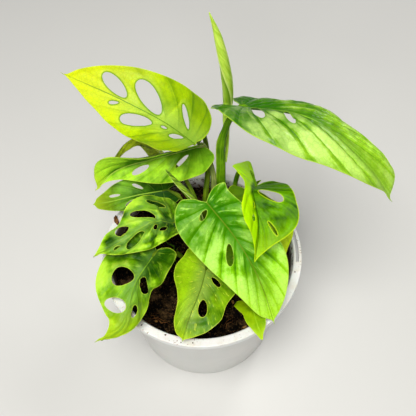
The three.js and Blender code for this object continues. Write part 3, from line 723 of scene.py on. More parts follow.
def blade_net(form, spacing):
    """Flat points and triangles of a blade with its holes, and how far each point is from a rim."""
    margin = form.outline(spacing * 0.9)
    loops = [hole_loop(h, spacing * 0.6) for h in form.leaf["holes"]]
    dense = evenly(margin, 0.15, closed=True)
    dense_holes = [evenly(loop, 0.15, closed=True) for loop in loops]
    low, high = margin.min(0), margin.max(0)
    rows = np.arange(low[1], high[1], spacing * 0.866)
    inner = []
    for i, y in enumerate(rows):
        xs = np.arange(low[0] + (i % 2) * spacing / 2, high[0], spacing)
        inner.append(np.column_stack([xs, np.full(len(xs), y)]))
    inner = np.vstack(inner)
    along_rib = np.linspace(0, form.length, int(form.length / spacing))
    rib = np.column_stack([along_rib, 0 * along_rib])
    inner = inner[inside(inner, margin) & (np.abs(inner[:, 1]) > 0.5 * spacing)]
    hems = []
    for loop, outward in [(margin, -1.0)] + [(loop, 1.0) for loop in loops]:
        side = np.roll(loop, -1, 0) - np.roll(loop, 1, 0)
        side = unit(np.column_stack([side[:, 1], -side[:, 0]]))
        hems.append(loop + outward * HEM_WIDTH * side)
    hems = np.vstack(hems)
    all_rims = np.vstack([dense] + dense_holes)
    hems = hems[inside(hems, margin) & (nearest(hems, all_rims)[1] > 0.36)]
    inner = inner[nearest(inner, all_rims)[1] > HEM_WIDTH + 0.5 * spacing]
    points = [margin] + loops + [rib, hems, inner]
    edges, start = [], 0
    for loop in [margin] + loops:
        edges += [(start + k, start + (k + 1) % len(loop)) for k in range(len(loop))]
        start += len(loop)
    edges += [(start + k, start + k + 1) for k in range(len(rib) - 1)]
    flat = [Vector(p) for p in np.vstack(points)]
    made = delaunay_2d_cdt(flat, edges, [], 0, 1e-4)
    places = np.array([tuple(v) for v in made[0]])
    triangles = np.array([tuple(f) for f in made[2]])
    middles = places[triangles].mean(1)
    good = inside(middles, margin)
    for loop in loops:
        good &= ~inside(middles, loop)
    triangles = triangles[good]
    a, b, c = (places[triangles[:, k]] for k in range(3))
    area = (b[:, 0] - a[:, 0]) * (c[:, 1] - a[:, 1]) - (b[:, 1] - a[:, 1]) * (c[:, 0] - a[:, 0])
    triangles = np.where((area > 0)[:, None], triangles, triangles[:, ::-1])
    used = np.unique(triangles)
    renumber = np.full(len(places), -1)
    renumber[used] = np.arange(len(used))
    places, triangles = places[used], renumber[triangles]
    to_margin = nearest(places, dense)[1]
    to_hole = nearest(places, np.vstack(dense_holes))[1] if loops else np.full(len(places), FAR)
    return places, triangles, to_margin, to_hole


def tube_frames(line, first_up):
    """An up that is carried back from a line's end without twisting, and the way across it."""
    along = unit(np.gradient(line, axis=0))
    up = np.zeros_like(line)
    up[-1] = LeafForm.square(first_up, along[-1])
    for i in range(len(line) - 2, -1, -1):
        up[i] = LeafForm.square(up[i + 1], along[i])
    return up, np.cross(up, along)


def swept(line, up, across, turn, reach):
    """Points of a tube: a ring round each point of its line, then the line's two ends."""
    over = (reach * np.cos(turn))[..., None] * up[:, None]
    aside = (reach * np.sin(turn))[..., None] * across[:, None]
    return np.vstack([(line[:, None] + (over + aside)).reshape(-1, 3), line[[0, -1]]])


def unrolled(step, around, end=0.0):
    """Where each point of such a tube lies on its flat skin: along it, round it, and nothing."""
    along = step * np.arange(len(around))[:, None] + 0 * around
    rings = np.stack([along, around, 0 * around], axis=-1).reshape(-1, 3)
    return np.vstack([rings, [(0, 0, 0), (end, 0, 0)]])


def stalk_net(form):
    """The stalk: a channelled tube, winged low down, where it once wrapped the next leaf."""
    leaf = form.leaf
    foot, *route = leaf["stalk"]
    joint = form.frame_at(np.array([0.0]))
    last = np.array(route[-1], float)
    from_below = np.dot(joint[1][0], last - joint[0][0]) > 0
    seats = []
    for x in ([2.5] if from_below else [0.0, 5.0]):
        point, _, up, _ = form.frame_at(np.array([x]))
        seats.append(point[0] - 0.7 * up[0])
    knots = [(foot[0], foot[1], STALK_FOOT), (foot[0], foot[1], STALK_RISE)] + route + seats
    line = evenly(spline(knots, np.linspace(0, 1, 600)), STALK_STEP)
    up, across = tube_frames(line, joint[2][0])
    share = np.linspace(0, 1, len(line))
    low, high = leaf["girth"]
    radius = low + (high - low) * share ** 1.2
    radius *= 1 + 0.22 * np.exp(-((share - 0.93) / 0.035) ** 2)
    radius = (radius * np.interp(share, [0, 0.965, 1], [1, 1, 0.35]))[:, None]
    wing_end = leaf.get("wing_end", 0.55)
    wing = np.interp(share, [0, 0.12, wing_end - 0.08, wing_end], [0.4, 1, 1, 0])[:, None]
    wing *= leaf["wing"]
    turn = np.linspace(-np.pi, np.pi, STALK_SIDES, endpoint=False)
    channel = np.exp(-(turn / 0.45) ** 2)
    flap = np.exp(-((np.abs(turn) - 0.8) / 0.2) ** 2)
    points = swept(line, up, across, turn, radius * (1 - 0.16 * channel) + wing * flap)
    wings = np.append(flap * np.minimum(wing, 1.0), [0, 0])
    flat = unrolled(STALK_STEP, turn * radius, len(line) * STALK_STEP)
    return points, ring_faces(len(line), STALK_SIDES, flipped=True), wings, flat


def add_values(mesh, name, values, kind="FLOAT"):
    made = mesh.attributes.new(name, kind, "POINT")
    key = "vector" if kind == "FLOAT_VECTOR" else "value"
    made.data.foreach_set(key, np.asarray(values, np.float32).ravel())


def folded(x, y, folds):
    """The height of the folds at flat points. A fold runs between two points; a dip is negative."""
    height = np.zeros(len(x))
    for x0, y0, x1, y1, rise, width in folds:
        run = np.hypot(x1 - x0, y1 - y0)
        cx, cy = (x1 - x0) / run, (y1 - y0) / run
        along = (x - x0) * cx + (y - y0) * cy
        past = np.maximum(np.maximum(-along, along - run), 0)
        off = (y - y0) * cx - (x - x0) * cy
        height += rise * np.exp(-(off ** 2 + past ** 2) / width ** 2)
    return height


def rising(value, over):
    return np.clip(value / over, 0, 1)


def saw(phase):
    return np.abs(phase - np.floor(phase) - 0.5) * 2


def make_leaf(name, leaf, skin, stalk_skin):
    """A leaf as one piece: its quilted blade of two faces and a thin edge, and its stalk."""
    form = LeafForm(leaf)
    spacing = NET_SPACING * 1.0
    places, triangles, to_margin, to_hole = blade_net(form, spacing)
    x, y = places[:, 0], places[:, 1]
    u, v = form.veins_at(x, y)
    tipward = x / form.length
    phase = u ** 1.4 * leaf["veins"]
    dome = 1 - (1 - saw(phase)) ** 2.2
    lumps = np.sin(0.62 * x + 0.9 * y + 1) * np.sin(0.8 * y - 0.43 * x)
    blisters = np.sin(2 * np.pi * (5.5 * v + 0.37 * np.floor(phase + 0.5)) + 0.5 * lumps)
    ramp = rising(v, 0.2) * rising(1 - v, 0.25) ** 0.5 * rising(1 - u, 0.2)
    ramp *= rising(np.hypot(x, y), 12)
    relief = dome - 0.55 + leaf.get("lump", 0.16) * lumps + 0.12 * saw(3 * phase) ** 0.6
    relief += leaf.get("blister", 0.08) * dome * blisters * (1 - 0.5 * v)
    relief *= leaf["quilt"] * ramp
    relief -= MIDRIB_GROOVE * np.exp(-(y / 0.75) ** 2) * rising(1 - tipward, 1) ** 0.5
    relief += MARGIN_RIPPLE * v ** 3 * np.sin(2 * np.pi * phase + np.sign(y)) * (1 - u)
    relief += leaf.get("hole_rim", 0.28) * np.exp(-to_hole ** 2)
    relief += leaf.get("lip", 0.0) * np.exp(-(to_margin / 1.5) ** 2) * rising(v, 0.3)
    fold = folded(x, y, leaf.get("folds", []))
    relief += fold
    spots, normals = form.place(x, y)
    rim = np.minimum(to_margin, to_hole)
    half_thick = 0.5 * BLADE_THICKNESS * (0.45 + 0.55 * rising(rim, 1.1))
    ridge = MIDRIB_RIDGE * np.exp(-(y / 0.8) ** 2) * rising(1 - tipward, 1)
    upper = spots + normals * (relief + half_thick)[:, None]
    lower = spots + normals * (relief - half_thick - ridge)[:, None]
    count = len(places)
    sides = dict.fromkeys((t[k], t[k - 2]) for t in triangles for k in range(3))
    border = [(p, q) for p, q in sides if (q, p) not in sides]
    faces = [tuple(t) for t in triangles] + [tuple(t + count)[::-1] for t in triangles]
    faces += [(count + p, count + q, q, p) for p, q in border]
    stalk_points, stalk_faces, wings, stalk_flat = stalk_net(form)
    materials = [0] * len(faces) + [1] * len(stalk_faces)
    faces += [tuple(2 * count + k for k in f) for f in stalk_faces]
    points = np.vstack([upper, lower, stalk_points])
    piece = mesh_piece(name, points, [tuple(int(k) for k in f) for f in faces], skin)
    mesh = piece.data
    mesh.materials.append(stalk_skin)
    mesh.polygons.foreach_set("material_index", materials)
    ends = np.zeros(2 * len(mesh.edges), np.int32)
    mesh.edges.foreach_get("vertices", ends)
    key = [len(mesh.vertices), 1]
    rim_keys = np.sort(border, axis=1) @ key
    edge_keys = np.sort(ends.reshape(-1, 2), axis=1) @ key
    flags = np.isin(edge_keys, [rim_keys, rim_keys + count * sum(key)])
    mesh.attributes.new("sharp_edge", "BOOLEAN", "EDGE").data.foreach_set("value", flags)
    none = np.zeros(count)
    for label, over, beneath, on_stalk in (
        ("rim", rim, rim, FAR), ("hole", to_hole, to_hole, FAR), ("phase", phase, phase, 0),
        ("out", v, v, 0), ("fold", fold, fold, 0), ("tipward", tipward, tipward, 0),
        ("under", none, none + 1, 0), ("wing", none, none, wings),
    ):
        add_values(mesh, label, np.concatenate([over, beneath, on_stalk + np.zeros(len(wings))]))
    flat = np.column_stack([places, none])
    add_values(mesh, "flat", np.vstack([flat, flat, stalk_flat]), "FLOAT_VECTOR")
    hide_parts(name[:-len("_grown")])
    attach(piece, "root")
    return piece


def leaf_skin(name, deep, light, vein, rim, tip, under, core=None, core_share=0.5, core_reach=9.0,
              hole_share=0.0, rib=None, gloss=0.42, shine=0.1, coat=0.0, pale_vein=0.5, valley=0.2,
              patches=0.5, strand=0.3, outward=0.0, left_tone=0.0, right_tone=0.0, edge_share=0.0,
              streaks=0.0, tip_from=0.8, tip_share=0.85, net=0.2, raised=None, hem=0.55,
              hem_width=0.45, slant=0.1, joint_share=0.0, joint_to=0.4, right_outward=0.0,
              left_plain=0.0, sheen=None, hole_dark=0.0, crests=0.0):
    """The finish of a blade: quilted greens, sunken veins, a fine net, a pale rim, a dull back.

    deep and light are the dips and the pillows, under the back, core the flesh by the midrib,
    and the sheen colour a painted highlight of the wax. The numbers say how strong each effect
    is, and how far it reaches.
    """
    node, fade, blend, grain, finished = new_material(
        name, Specular_IOR_Level=shine, Subsurface_Weight=0.05, Subsurface_Scale=0.001,
        Coat_Weight=coat, Coat_Roughness=0.15,
    )

    def read(attribute, output="Fac"):
        return node("Attribute", attribute_name=attribute)[output]

    def drawn(x, y, z=1.0):
        """A place for grain that is drawn out along the side veins."""
        return node("CombineXYZ", {"X": phase * x, "Y": out * y, "Z": side * z})

    flat, out, phase, tipward = read("flat", "Vector"), read("out"), read("phase"), read("tipward")
    across = node("SeparateXYZ", {0: flat})["Y"]
    from_rib, side = abs(across), across.sign()
    strands = grain(drawn(7.0, 1.6, 5.0), 1.0, 4.0, 0.6)
    large = fade(grain(flat, 0.055, 3.0), 0.35, 0.65)
    small = grain(flat, 0.6, 4.0, 0.6)
    from_vein = abs(phase.fract() - 0.5)
    # Painted light and shade: the pillows are lightened, and the valleys beside the veins, mostly on
    # one side, are darkened.
    leaning = 0.5 - (phase + 0.5).fract()
    veined = fade(from_vein, 0.02, 0.28) * valley + leaning * slant
    on_blade = fade(out, 0.02, 0.2)
    if left_plain:
        kept = fade(across, -1.0, 1.0, 1.0, 1.0 - left_plain)
        on_blade = on_blade * kept
        veined = (veined - valley * 0.75) * kept + valley * 0.75
    # Painted light and shade: through the fold height, each fold's ridge is lightened and its dip
    # darkened.
    tone = veined + large * patches + out * outward + read("fold") * 0.5
    # Painted shade and light: one half can be darkened near the midrib and lightened toward its
    # margin, as in the shaded cup of a standing half.
    if right_outward:
        tone = tone + out * fade(across, -1.0, 0.0, right_outward, 0.0)
    tone = tone + (small - 0.5) * 0.4 + (strands - 0.5) * (2.0 * strand)
    # Painted light and shade: each half of a blade is lightened or darkened as a whole, for the
    # light it catches and the shade it lies in.
    if left_tone or right_tone:
        tone = tone + fade(across, -2.0, 2.0, right_tone, left_tone)
    colour = blend(tone.at_most(1.0).at_least(0.0), deep, light)
    if sheen:
        # Painted highlight: the tops of the pillows are paled toward the sheen colour, for the shine
        # of the wax.
        colour = blend(fade(tone, 0.5, 1.05), colour, sheen)
    if core:
        # The flesh keeps another tone along the midrib and, on some leaves, round the holes.
        dull = fade(from_rib, 1.0, core_reach, 1.0, 0.0) * core_share * fade(tipward, 1.0, 0.6)
        if hole_share:
            dull = dull.at_least(fade(read("hole"), 0.5, 4.5, 1.0, 0.0) * hole_share)
        colour = blend(dull, colour, core)
    colour = blend(fade(tipward, tip_from, 1.02, 0.0, tip_share), colour, tip)
    if joint_share:
        # Painted shade: near its joint the leaf lies under others, and is darkened toward the deep
        # colour there.
        uneven = tipward + (large - 0.5) * 0.25
        colour = blend(fade(uneven, 0.0, joint_to, joint_share, 0.0), colour, deep)
    if edge_share:
        colour = blend(fade(read("rim"), 0.6, 3.5, edge_share, 0.0), colour, deep)
    if crests:
        # Painted highlights: short pale glints, for the wax's shine, lie on the pillows' crests in
        # the leaf's upper part.
        crest = fade(grain(drawn(4.0, 2.6), 1.0, 3.0), 0.5, 0.66) * fade(from_vein, 0.1, 0.36)
        crest = crest * (fade(tipward, 0.9, 0.45) * on_blade)
        colour = blend(crest * crests, colour, sheen)
    side_vein = fade(from_vein / fade(out, 0.0, 0.9, 0.06, 0.02), 0.35, 1.0, 1.0, 0.0)
    side_vein = side_vein * (fade(out, 1.0, 0.7) * on_blade)
    colour = blend(side_vein * pale_vein, colour, vein)
    mid_vein = fade(from_rib, 0.12, 0.5, 1.0, 0.0) * fade(tipward, 1.0, 0.7, 0.3, 0.9)
    colour = blend(mid_vein, colour, rib or vein)
    cells = node(
        "TexVoronoi", {"Vector": flat, "Scale": 0.42, "Randomness": 1.0}, feature="DISTANCE_TO_EDGE"
    )["Distance"]
    threads = fade(cells, 0.0, 0.09, 1.0, 0.0)
    colour = blend(threads * net, colour, vein)
    if streaks:
        marks = fade(grain(drawn(9.0, 3.2), 1.0, 2.0), 0.63, 0.68)
        colour = blend(marks * streaks, colour, rim)
    if raised:
        # Painted light: the half that stands up is paled toward the raised colour, for the light
        # that shines through it.
        colour = blend(fade(across, -1.5, -4.0, 0.0, 0.85), colour, raised)
    colour = blend(fade(read("rim"), 0.15, hem_width, hem, 0.0), colour, rim)
    # Painted shade: round the holes the blade is darkened toward the deep colour.
    if hole_dark:
        colour = blend(fade(read("hole"), 0.3, 1.3, hole_dark, 0.0), colour, deep)
    below = read("under")
    colour = blend(below * 0.75, colour, under)
    rough = (small - 0.5) * 0.3 + gloss + below * 0.2
    height = small * 0.5 - threads * 0.5 + strands * 0.9 - side_vein * 1.2
    return finished(colour, rough, height, 0.3, 0.00025)


def stalk_skin(name, dark, light, wing_edge):
    """The finish of a stalk: fine streaks along it, and thin dry edges on its wings."""
    node, fade, blend, grain, finished = new_material(
        name, Specular_IOR_Level=0.12, Subsurface_Weight=0.1, Subsurface_Scale=0.001
    )
    flat = node("Attribute", attribute_name="flat")["Vector"]
    stretched = node("Mapping", {"Vector": flat, "Scale": (0.05, 1.6, 1.0)})
    streak = fade(grain(stretched, 1.0, 4.0, 0.6), 0.35, 0.7)
    patch = fade(grain(flat, 0.12, 2.0), 0.35, 0.7)
    colour = blend((streak + patch) * 0.5, dark, light)
    wing = node("Attribute", attribute_name="wing")["Fac"]
    colour = blend(fade(wing, 0.45, 0.8, 0.0, 0.8), colour, wing_edge)
    place = node("TexCoord")["Object"]
    soiled = fade(node("SeparateXYZ", {0: place})["Z"], 0.088, 0.08)
    colour = blend(soiled * fade(grain(place, 500.0, 4.0), 0.4, 0.6), colour, (0.03, 0.018, 0.01))
    return finished(colour, fade(streak, 0.0, 1.0, 0.5, 0.66), streak, 0.25, 0.0002)


GREEN_STALK = stalk_skin("green stalk", (0.04, 0.14, 0.001), (0.2, 0.42, 0.004), (0.5, 0.66, 0.08))
OLIVE_STALK = stalk_skin("olive stalk", (0.04, 0.1, 0.001), (0.2, 0.3, 0.008), (0.44, 0.4, 0.14))
DRY_STALK = stalk_skin(
    "dry-sheathed stalk", (0.08, 0.14, 0.01), (0.4, 0.44, 0.14), (0.62, 0.58, 0.36)
)

UPPER_LEFT = dict(
    rib=[(-2, 34, 147), (-21, 57, 141), (-48, 72, 146), (-79, 79, 160)],
    face=(-0.03, -0.32, 0.95), twist=(-3, 1),
    left=(2.3, 25, 25, 23, 19, 11.5, 4.4), right=(6, 23, 24, 24, 21, 14, 6.7),
    fold=((28, 15, 12), (25, 14, 14)), curl=((21, 7, 2), (28, 6, 5)),
    holes=[
        (65.6, -6.2, 18.5, 7.9, -22), (44.3, -8.6, 24, 10.3, -29), (16, -9.6, 16.4, 3.5, -38),
        (62, 4.5, 6, 2.5, 29), (43.7, 9, 20.6, 9.2, 17), (25, 3.9, 4.9, 2, 3),
        (12, 4.4, 8.9, 4.6, 30),
    ],
    stalk=[
        (2, 27), (2.5, 29, 93), (3.6, 35, 104), (5, 48, 110), (4, 58, 119), (2, 53, 135),
        (0, 42, 141),
    ],
    girth=(2, 1.2), veins=9, quilt=0.5, wing=0.3, hole_rim=0.5, lip=0.6,
    folds=[
        (56.8, -12.5, 45.7, -3.2, 0.7, 1.2), (24.4, -14.6, 28.8, -2.8, 0.7, 1.2),
        (30.4, 11.1, 16.4, 3.4, 0.5, 1.0),
    ],
)
make_leaf(
    "leaf_upper_left_grown", UPPER_LEFT,
    leaf_skin(
        "yellow-green leaf", deep=(0.09, 0.23, 0.0005), light=(0.49, 0.71, 0.002),
        vein=(0.12, 0.27, 0.008), rim=(0.5, 0.66, 0.02), tip=(0.72, 0.78, 0.002),
        under=(0.3, 0.42, 0.03), core=(0.36, 0.55, 0.07), rib=(0.09, 0.22, 0.006), core_share=0.8,
        core_reach=15.0, hole_share=0.4, hole_dark=0.75, shine=0.14, pale_vein=0.2, tip_from=0.25,
        left_tone=0.44, right_tone=0.14, patches=0.34, slant=0.2, joint_share=0.4, joint_to=0.5,
        strand=0.25,
    ),
    OLIVE_STALK,
)


# ==== The tall mid-green leaf at the upper right ====
# The largest leaf, arching over to the right from the thickest stalk, whose wings still wrap the
# new rolled leaf. Its blade is glossy and quilted, with three narrow holes near the midrib.

UPPER_RIGHT = dict(
    rib=[(24, 49, 160), (57, 28, 172), (84, 7, 161), (102, -1, 137)],
    face=(0.26, -0.04, 0.97), twist=(13, -9),
    left=(12, 21, 21, 19, 14, 12, 9.5), right=(9, 23, 28, 25.5, 17, 8.3, 1.6),
    fold=((4, -4, 19), (15, -2, 10)), curl=((-19, -32, 6), (-5, -29, -4)),
    holes=[(15, -7.6, 18, 4.6, -39), (32.4, -5.6, 12.2, 3.7, -38), (62, 9.6, 4.6, 1.8, 1)],
    stalk=[(14, 33), (13, 35, 104), (13, 39, 121), (13, 43, 136), (16, 46.5, 148), (20, 48.5, 155)],
    sweep=4.0, girth=(2.9, 1.7), veins=10, quilt=1.15, wing=1.6, wing_end=0.78,
)
make_leaf(
    "leaf_upper_right_grown", UPPER_RIGHT,
    leaf_skin(
        "mid-green leaf", deep=(0.022, 0.14, 0.0002), light=(0.35, 0.68, 0.01),
        vein=(0.02, 0.14, 0.001), rim=(0.42, 0.64, 0.04), tip=(0.38, 0.7, 0.03),
        under=(0.12, 0.27, 0.01), core=(0.022, 0.13, 0.0003), rib=(0.24, 0.48, 0.03),
        sheen=(0.5, 0.74, 0.17), core_share=0.85, core_reach=6.0, valley=0.45, slant=0.45,
        gloss=0.34, coat=0.18, pale_vein=0.7, tip_from=0.1, tip_share=0.55, crests=0.4, strand=0.7,
        outward=0.2, right_tone=0.12, left_tone=-0.1, edge_share=0.25, left_plain=0.5,
        joint_share=0.9, joint_to=0.55, hem=0.8, hem_width=0.55, hole_dark=0.5,
    ),
    GREEN_STALK,
)


# ==== The folded, arched and blue-green leaves behind ====
# Three leaves in the shade of the tall one. The first hangs folded along its midrib, the second
# arches over behind it, and the third is small, dull and bluish, low over the rim.

FOLDED = dict(
    rib=[(2, 47, 130), (-25, 46, 121), (-50, 44, 113), (-65, 35, 104)],
    face=(-0.2, -0.59, 0.78), twist=(-2, -9),
    left=(6, 18.2, 18.2, 15.7, 10.9, 5.5, 1), right=(2.8, 7, 11, 14.9, 16, 15.4, 7.6),
    fold=((14, 1, -2), (80, 74, 52)), curl=((23, 4, 4), (50, 28, -13)),
    holes=[(40.7, 4.6, 12.1, 3.9, 13), (14, 6.2, 10.7, 2.7, 31)],
    stalk=[(8.5, 29), (8, 31, 102), (8, 36, 114), (5.5, 43, 123)], girth=(2.2, 1.4),
    veins=9, quilt=0.6, wing=0.5,
)
ARCHED = dict(
    rib=[(-24, 59, 106), (-36, 69, 113), (-48, 70, 107), (-59, 63, 95)],
    face=(-0.24, 0.27, 0.93), twist=(0, -2),
    left=(4, 6.5, 6, 5.5, 6, 4.5, 2.4), right=(5.7, 9.8, 9.7, 8.9, 7.1, 4.5, 2.6),
    fold=((-37, -40, -33), (-41, -45, -36)), curl=((2, 2, 2), (2, 2, 2)), wave=(0.5, 2),
    holes=[],
    stalk=[(0, 20), (-3, 27, 101), (-9, 40, 107), (-17, 54, 105)], girth=(1.5, 1),
    veins=7, quilt=0.5, wing=0.2,
)
BLUE_GREEN = dict(
    rib=[(-21, 40, 96), (-38, 34, 100), (-55, 31, 98), (-69, 35, 89)],
    face=(-0.11, -0.47, 0.88), twist=(0, 1),
    left=(7.5, 11, 11, 10, 7.4, 4.8, 3.2), right=(7.5, 12.3, 12.5, 11.8, 10, 6, 3.6),
    fold=((8, 9, 10), (8, 9, 10)), curl=((2, 2, 3), (2, 2, 3)), wave=(0.6, 2),
    holes=[(33.5, -3, 7.1, 1.6, -3), (18.5, -5.3, 6.9, 1.9, -35), (24.7, 4, 7, 2.5, 19)],
    stalk=[(-8, 30), (-9, 32, 86), (-14, 37, 93)], girth=(1.3, 0.9),
    veins=7, quilt=0.45, wing=0.2,
)
# Painted shade and light: the standing right half is darkened by the midrib and lightened toward its
# margin, for the cup it makes.
shaded_skin = leaf_skin(
    "shaded leaf", deep=(0.04, 0.17, 0.001), light=(0.51, 0.94, 0.03),
    vein=(0.2, 0.4, 0.01),
    rim=(0.55, 0.7, 0.06), tip=(0.5, 0.64, 0.02), under=(0.16, 0.27, 0.01),
    core=(0.06, 0.25, 0.004), core_share=0.35, core_reach=6.0, patches=0.7, shine=0.18,
    rib=(0.5, 0.66, 0.08), right_tone=-0.85, left_tone=0.22, right_outward=1.2, joint_share=0.6,
    joint_to=0.5, strand=0.45,
)
olive_skin = leaf_skin(
    "olive leaf", deep=(0.01, 0.025, 0.0005), light=(0.62, 0.82, 0.02),
    vein=(0.26, 0.32, 0.03),
    rim=(0.4, 0.48, 0.05), tip=(0.3, 0.36, 0.02), under=(0.16, 0.22, 0.01), gloss=0.45,
)
blue_skin = leaf_skin(
    "blue-green leaf", deep=(0.01, 0.065, 0.0015), light=(0.27, 0.62, 0.02),
    vein=(0.3, 0.5, 0.04),
    rim=(0.45, 0.62, 0.08), tip=(0.42, 0.6, 0.015), under=(0.1, 0.2, 0.02),
    core=(0.05, 0.17, 0.006), core_share=0.5, pale_vein=0.25, tip_from=0.5, patches=0.6,
    joint_share=0.9, joint_to=0.7, left_tone=-0.38, right_tone=-0.3, net=0.03, outward=0.2,
)
make_leaf("leaf_folded_grown", FOLDED, shaded_skin, DRY_STALK)
make_leaf("leaf_arched_grown", ARCHED, olive_skin, OLIVE_STALK)
make_leaf("leaf_blue_green_grown", BLUE_GREEN, blue_skin, OLIVE_STALK)


# ==== The glossy heart leaf in the middle ====
# A thick, well-fed leaf that hangs toward the front, dark and shining, deeply quilted between its
# sunken veins, with a small round hole by the joint and a long one halfway down.

CENTRE = dict(
    rib=[(3.5, 4, 134), (20, -12, 119), (32, -31, 106), (39.5, -49, 90)],
    face=(-0.13, -0.67, 0.73), twist=(0, 2),
    left=(4, 13.5, 15.5, 19.5, 19, 12, 5.4), right=(9.2, 22, 23, 21.4, 16.8, 11.6, 6.6),
    fold=((1, 2, 5), (10, 12, 12)), curl=((0, 0, 2), (6, 8, 4)),
    holes=[(4.4, -5.8, 6.8, 3, -70), (31.6, -7.8, 12.9, 4.1, -27)],
    stalk=[(10, 15), (9.5, 14, 102), (7.5, 9, 125)], girth=(2.2, 1.3),
    veins=10, quilt=1.2, wing=0.5, blister=0.2, lump=0.08,
)
make_leaf(
    "leaf_centre_grown", CENTRE,
    leaf_skin(
        "deep green leaf", deep=(0.03, 0.18, 0.0002), light=(0.36, 0.84, 0.003),
        vein=(0.03, 0.16, 0.0005), rim=(0.46, 0.68, 0.06), tip=(0.4, 0.72, 0.02),
        under=(0.1, 0.27, 0.01), core=(0.028, 0.19, 0.0002), rib=(0.14, 0.22, 0.01),
        sheen=(0.48, 0.86, 0.13), core_share=0.85, core_reach=10.0, gloss=0.32, hem=0.65,
        hem_width=0.5, shine=0.02, coat=0.05, crests=0.55, pale_vein=0.2, valley=0.34, slant=0.34,
        patches=0.62, outward=0.2, tip_from=0.4, tip_share=0.7, strand=0.25, joint_share=0.8,
        joint_to=0.55,
    ),
    GREEN_STALK,
)


# ==== The curled bright leaf and the one below it ====
# A young leaf that has not spread flat yet: one half stands rolled up along the midrib, and its
# lobe stands over the joint like a hood. Below it a plain leaf lies over the rim's edge.

CURLED = dict(
    rib=[(30.5, 12.5, 136), (28.5, 3, 142), (30.5, -14, 136), (27.5, -31, 129)],
    face=(-0.06, -0.19, 0.98), twist=(8, 1),
    left=(8.7, 19.2, 20, 21, 20, 8.5, 3), right=(23, 16.6, 7, 12.1, 12.3, 5.6, 1.6),
    fold=((4, 6, 6), (41, 60, 66)), curl=((8, 6, 7), (-18, -21, -2)),
    holes=[
        (14.2, 8.6, 15, 5.2, 52), (18.2, -2.4, 3, 1.7, 0), (25.1, -5.1, 4.2, 3.2, -22),
        (30.6, 7.2, 8, 1.6, 38),
    ],
    stalk=[(20, 37), (22, 40, 104), (24.5, 37, 119), (28.5, 25, 132)], girth=(1.6, 1.1),
    veins=8, quilt=0.7, wing=0.3,
    folds=[
        (18.5, 4.7, 22.3, 12, -0.5, 0.7), (26.2, 7, 27, 14.2, -0.5, 0.7),
        (23.8, 2.2, 28.5, 4.6, -0.5, 0.8), (22.5, 6.5, 24.8, 13, 0.5, 1.1),
        (33.4, 12, 29.4, 17, 0.7, 1.8),
    ],
)
RIGHT_LOWER = dict(
    rib=[(29, 31, 106), (35, 16, 106), (43, 3, 104), (49, -10, 96)],
    face=(-0.05, -0.26, 0.97), twist=(1, 0),
    left=(3, 5, 8, 12, 13.5, 8.6, 3.3), right=(7.3, 16.1, 16.1, 15.1, 12.1, 7.6, 3),
    fold=((8, 8, 8), (8, 8, 8)), curl=((2, 2, 2), (2, 2, 2)), wave=(0.6, 2),
    holes=[(20, -6, 8, 2.6, -32)],
    stalk=[(26, 27), (26, 28, 90), (28, 30, 99)], girth=(1.4, 1),
    veins=8, quilt=0.5, wing=0.2,
)
curled_skin = leaf_skin(
    "bright curled leaf", deep=(0.014, 0.075, 0.0003), light=(0.19, 0.5, 0.0005),
    vein=(0.05, 0.16, 0.001), rim=(0.6, 0.8, 0.01), tip=(0.36, 0.66, 0.001), under=(0.4, 0.7, 0.002),
    raised=(0.5, 0.95, 0.002), shine=0.06, gloss=0.4, pale_vein=0.4, strand=0.4, tip_from=0.5,
    hem=0.65, hem_width=0.6, patches=0.38, left_tone=0.05,
)
# Painted light: the tip is made as bright as the green can go, so that it looks lit, though the
# curled leaf above shades it.
right_skin = leaf_skin(
    "lower bright leaf", deep=(0.03, 0.08, 0.0005), light=(0.14, 0.3, 0.001),
    vein=(0.1, 0.24, 0.002),
    rim=(0.6, 0.76, 0.03), tip=(0.74, 1.0, 0.015), under=(0.3, 0.5, 0.01), tip_from=0.2,
    tip_share=1.0,
)
make_leaf("leaf_curled_grown", CURLED, curled_skin, GREEN_STALK)
make_leaf("leaf_right_lower_grown", RIGHT_LOWER, right_skin, OLIVE_STALK)


# ==== The hanging front leaf and the small pointed one ====
# Two older leaves that rest over the soil at the front. The larger is olive with pale streaks that
# follow its veins and droops over the rim; the small one shows only its pointed tip.

FRONT = dict(
    rib=[(3, -15, 98), (-1, -31, 99), (-7, -47, 99), (-11.5, -58, 91)],
    face=(0.18, -0.35, 0.92), twist=(-1, 0),
    left=(16.5, 22, 20.5, 16.5, 16.4, 12, 5.4), right=(7.3, 15.1, 17.9, 16.3, 10.2, 8, 5),
    fold=((6, 7, 9), (7, 10, 9)), curl=((0, -2, 3), (0, 1, 4)), wave=(0.5, 2),
    holes=[(9.4, 7.1, 7.3, 3.3, 53), (26.6, 4.9, 10, 5, 15)],
    stalk=[(1, -4), (1, -5, 88), (2, -10, 95)], girth=(1.4, 0.9),
    veins=8, quilt=0.4, wing=0.2, lip=0.8,
    folds=[(36.7, 0.5, 33.5, 7.7, -1.2, 2.2), (30, 7.6, 24, 9, -0.5, 1.6)],
)
SMALL = dict(
    rib=[(26, -31, 82), (28, -38, 87.4), (29.6, -47, 90), (32.1, -57.5, 89.2)],
    face=(-0.19, 0.1, 0.97), twist=(-2, 0),
    left=(3.5, 9.4, 9.3, 8.2, 6.1, 3.9, 1.5), right=(3, 8.6, 7.9, 6.4, 5.6, 3.4, 1.7),
    fold=((8, 8, 8), (7, 8, 8)), curl=((2, 2, 2), (2, 3, 2)), wave=(0.3, 2), holes=[],
    stalk=[(25, -24), (25.4, -28, 81.5)], girth=(1, 0.7),
    veins=6, quilt=0.3, wing=0.1,
)
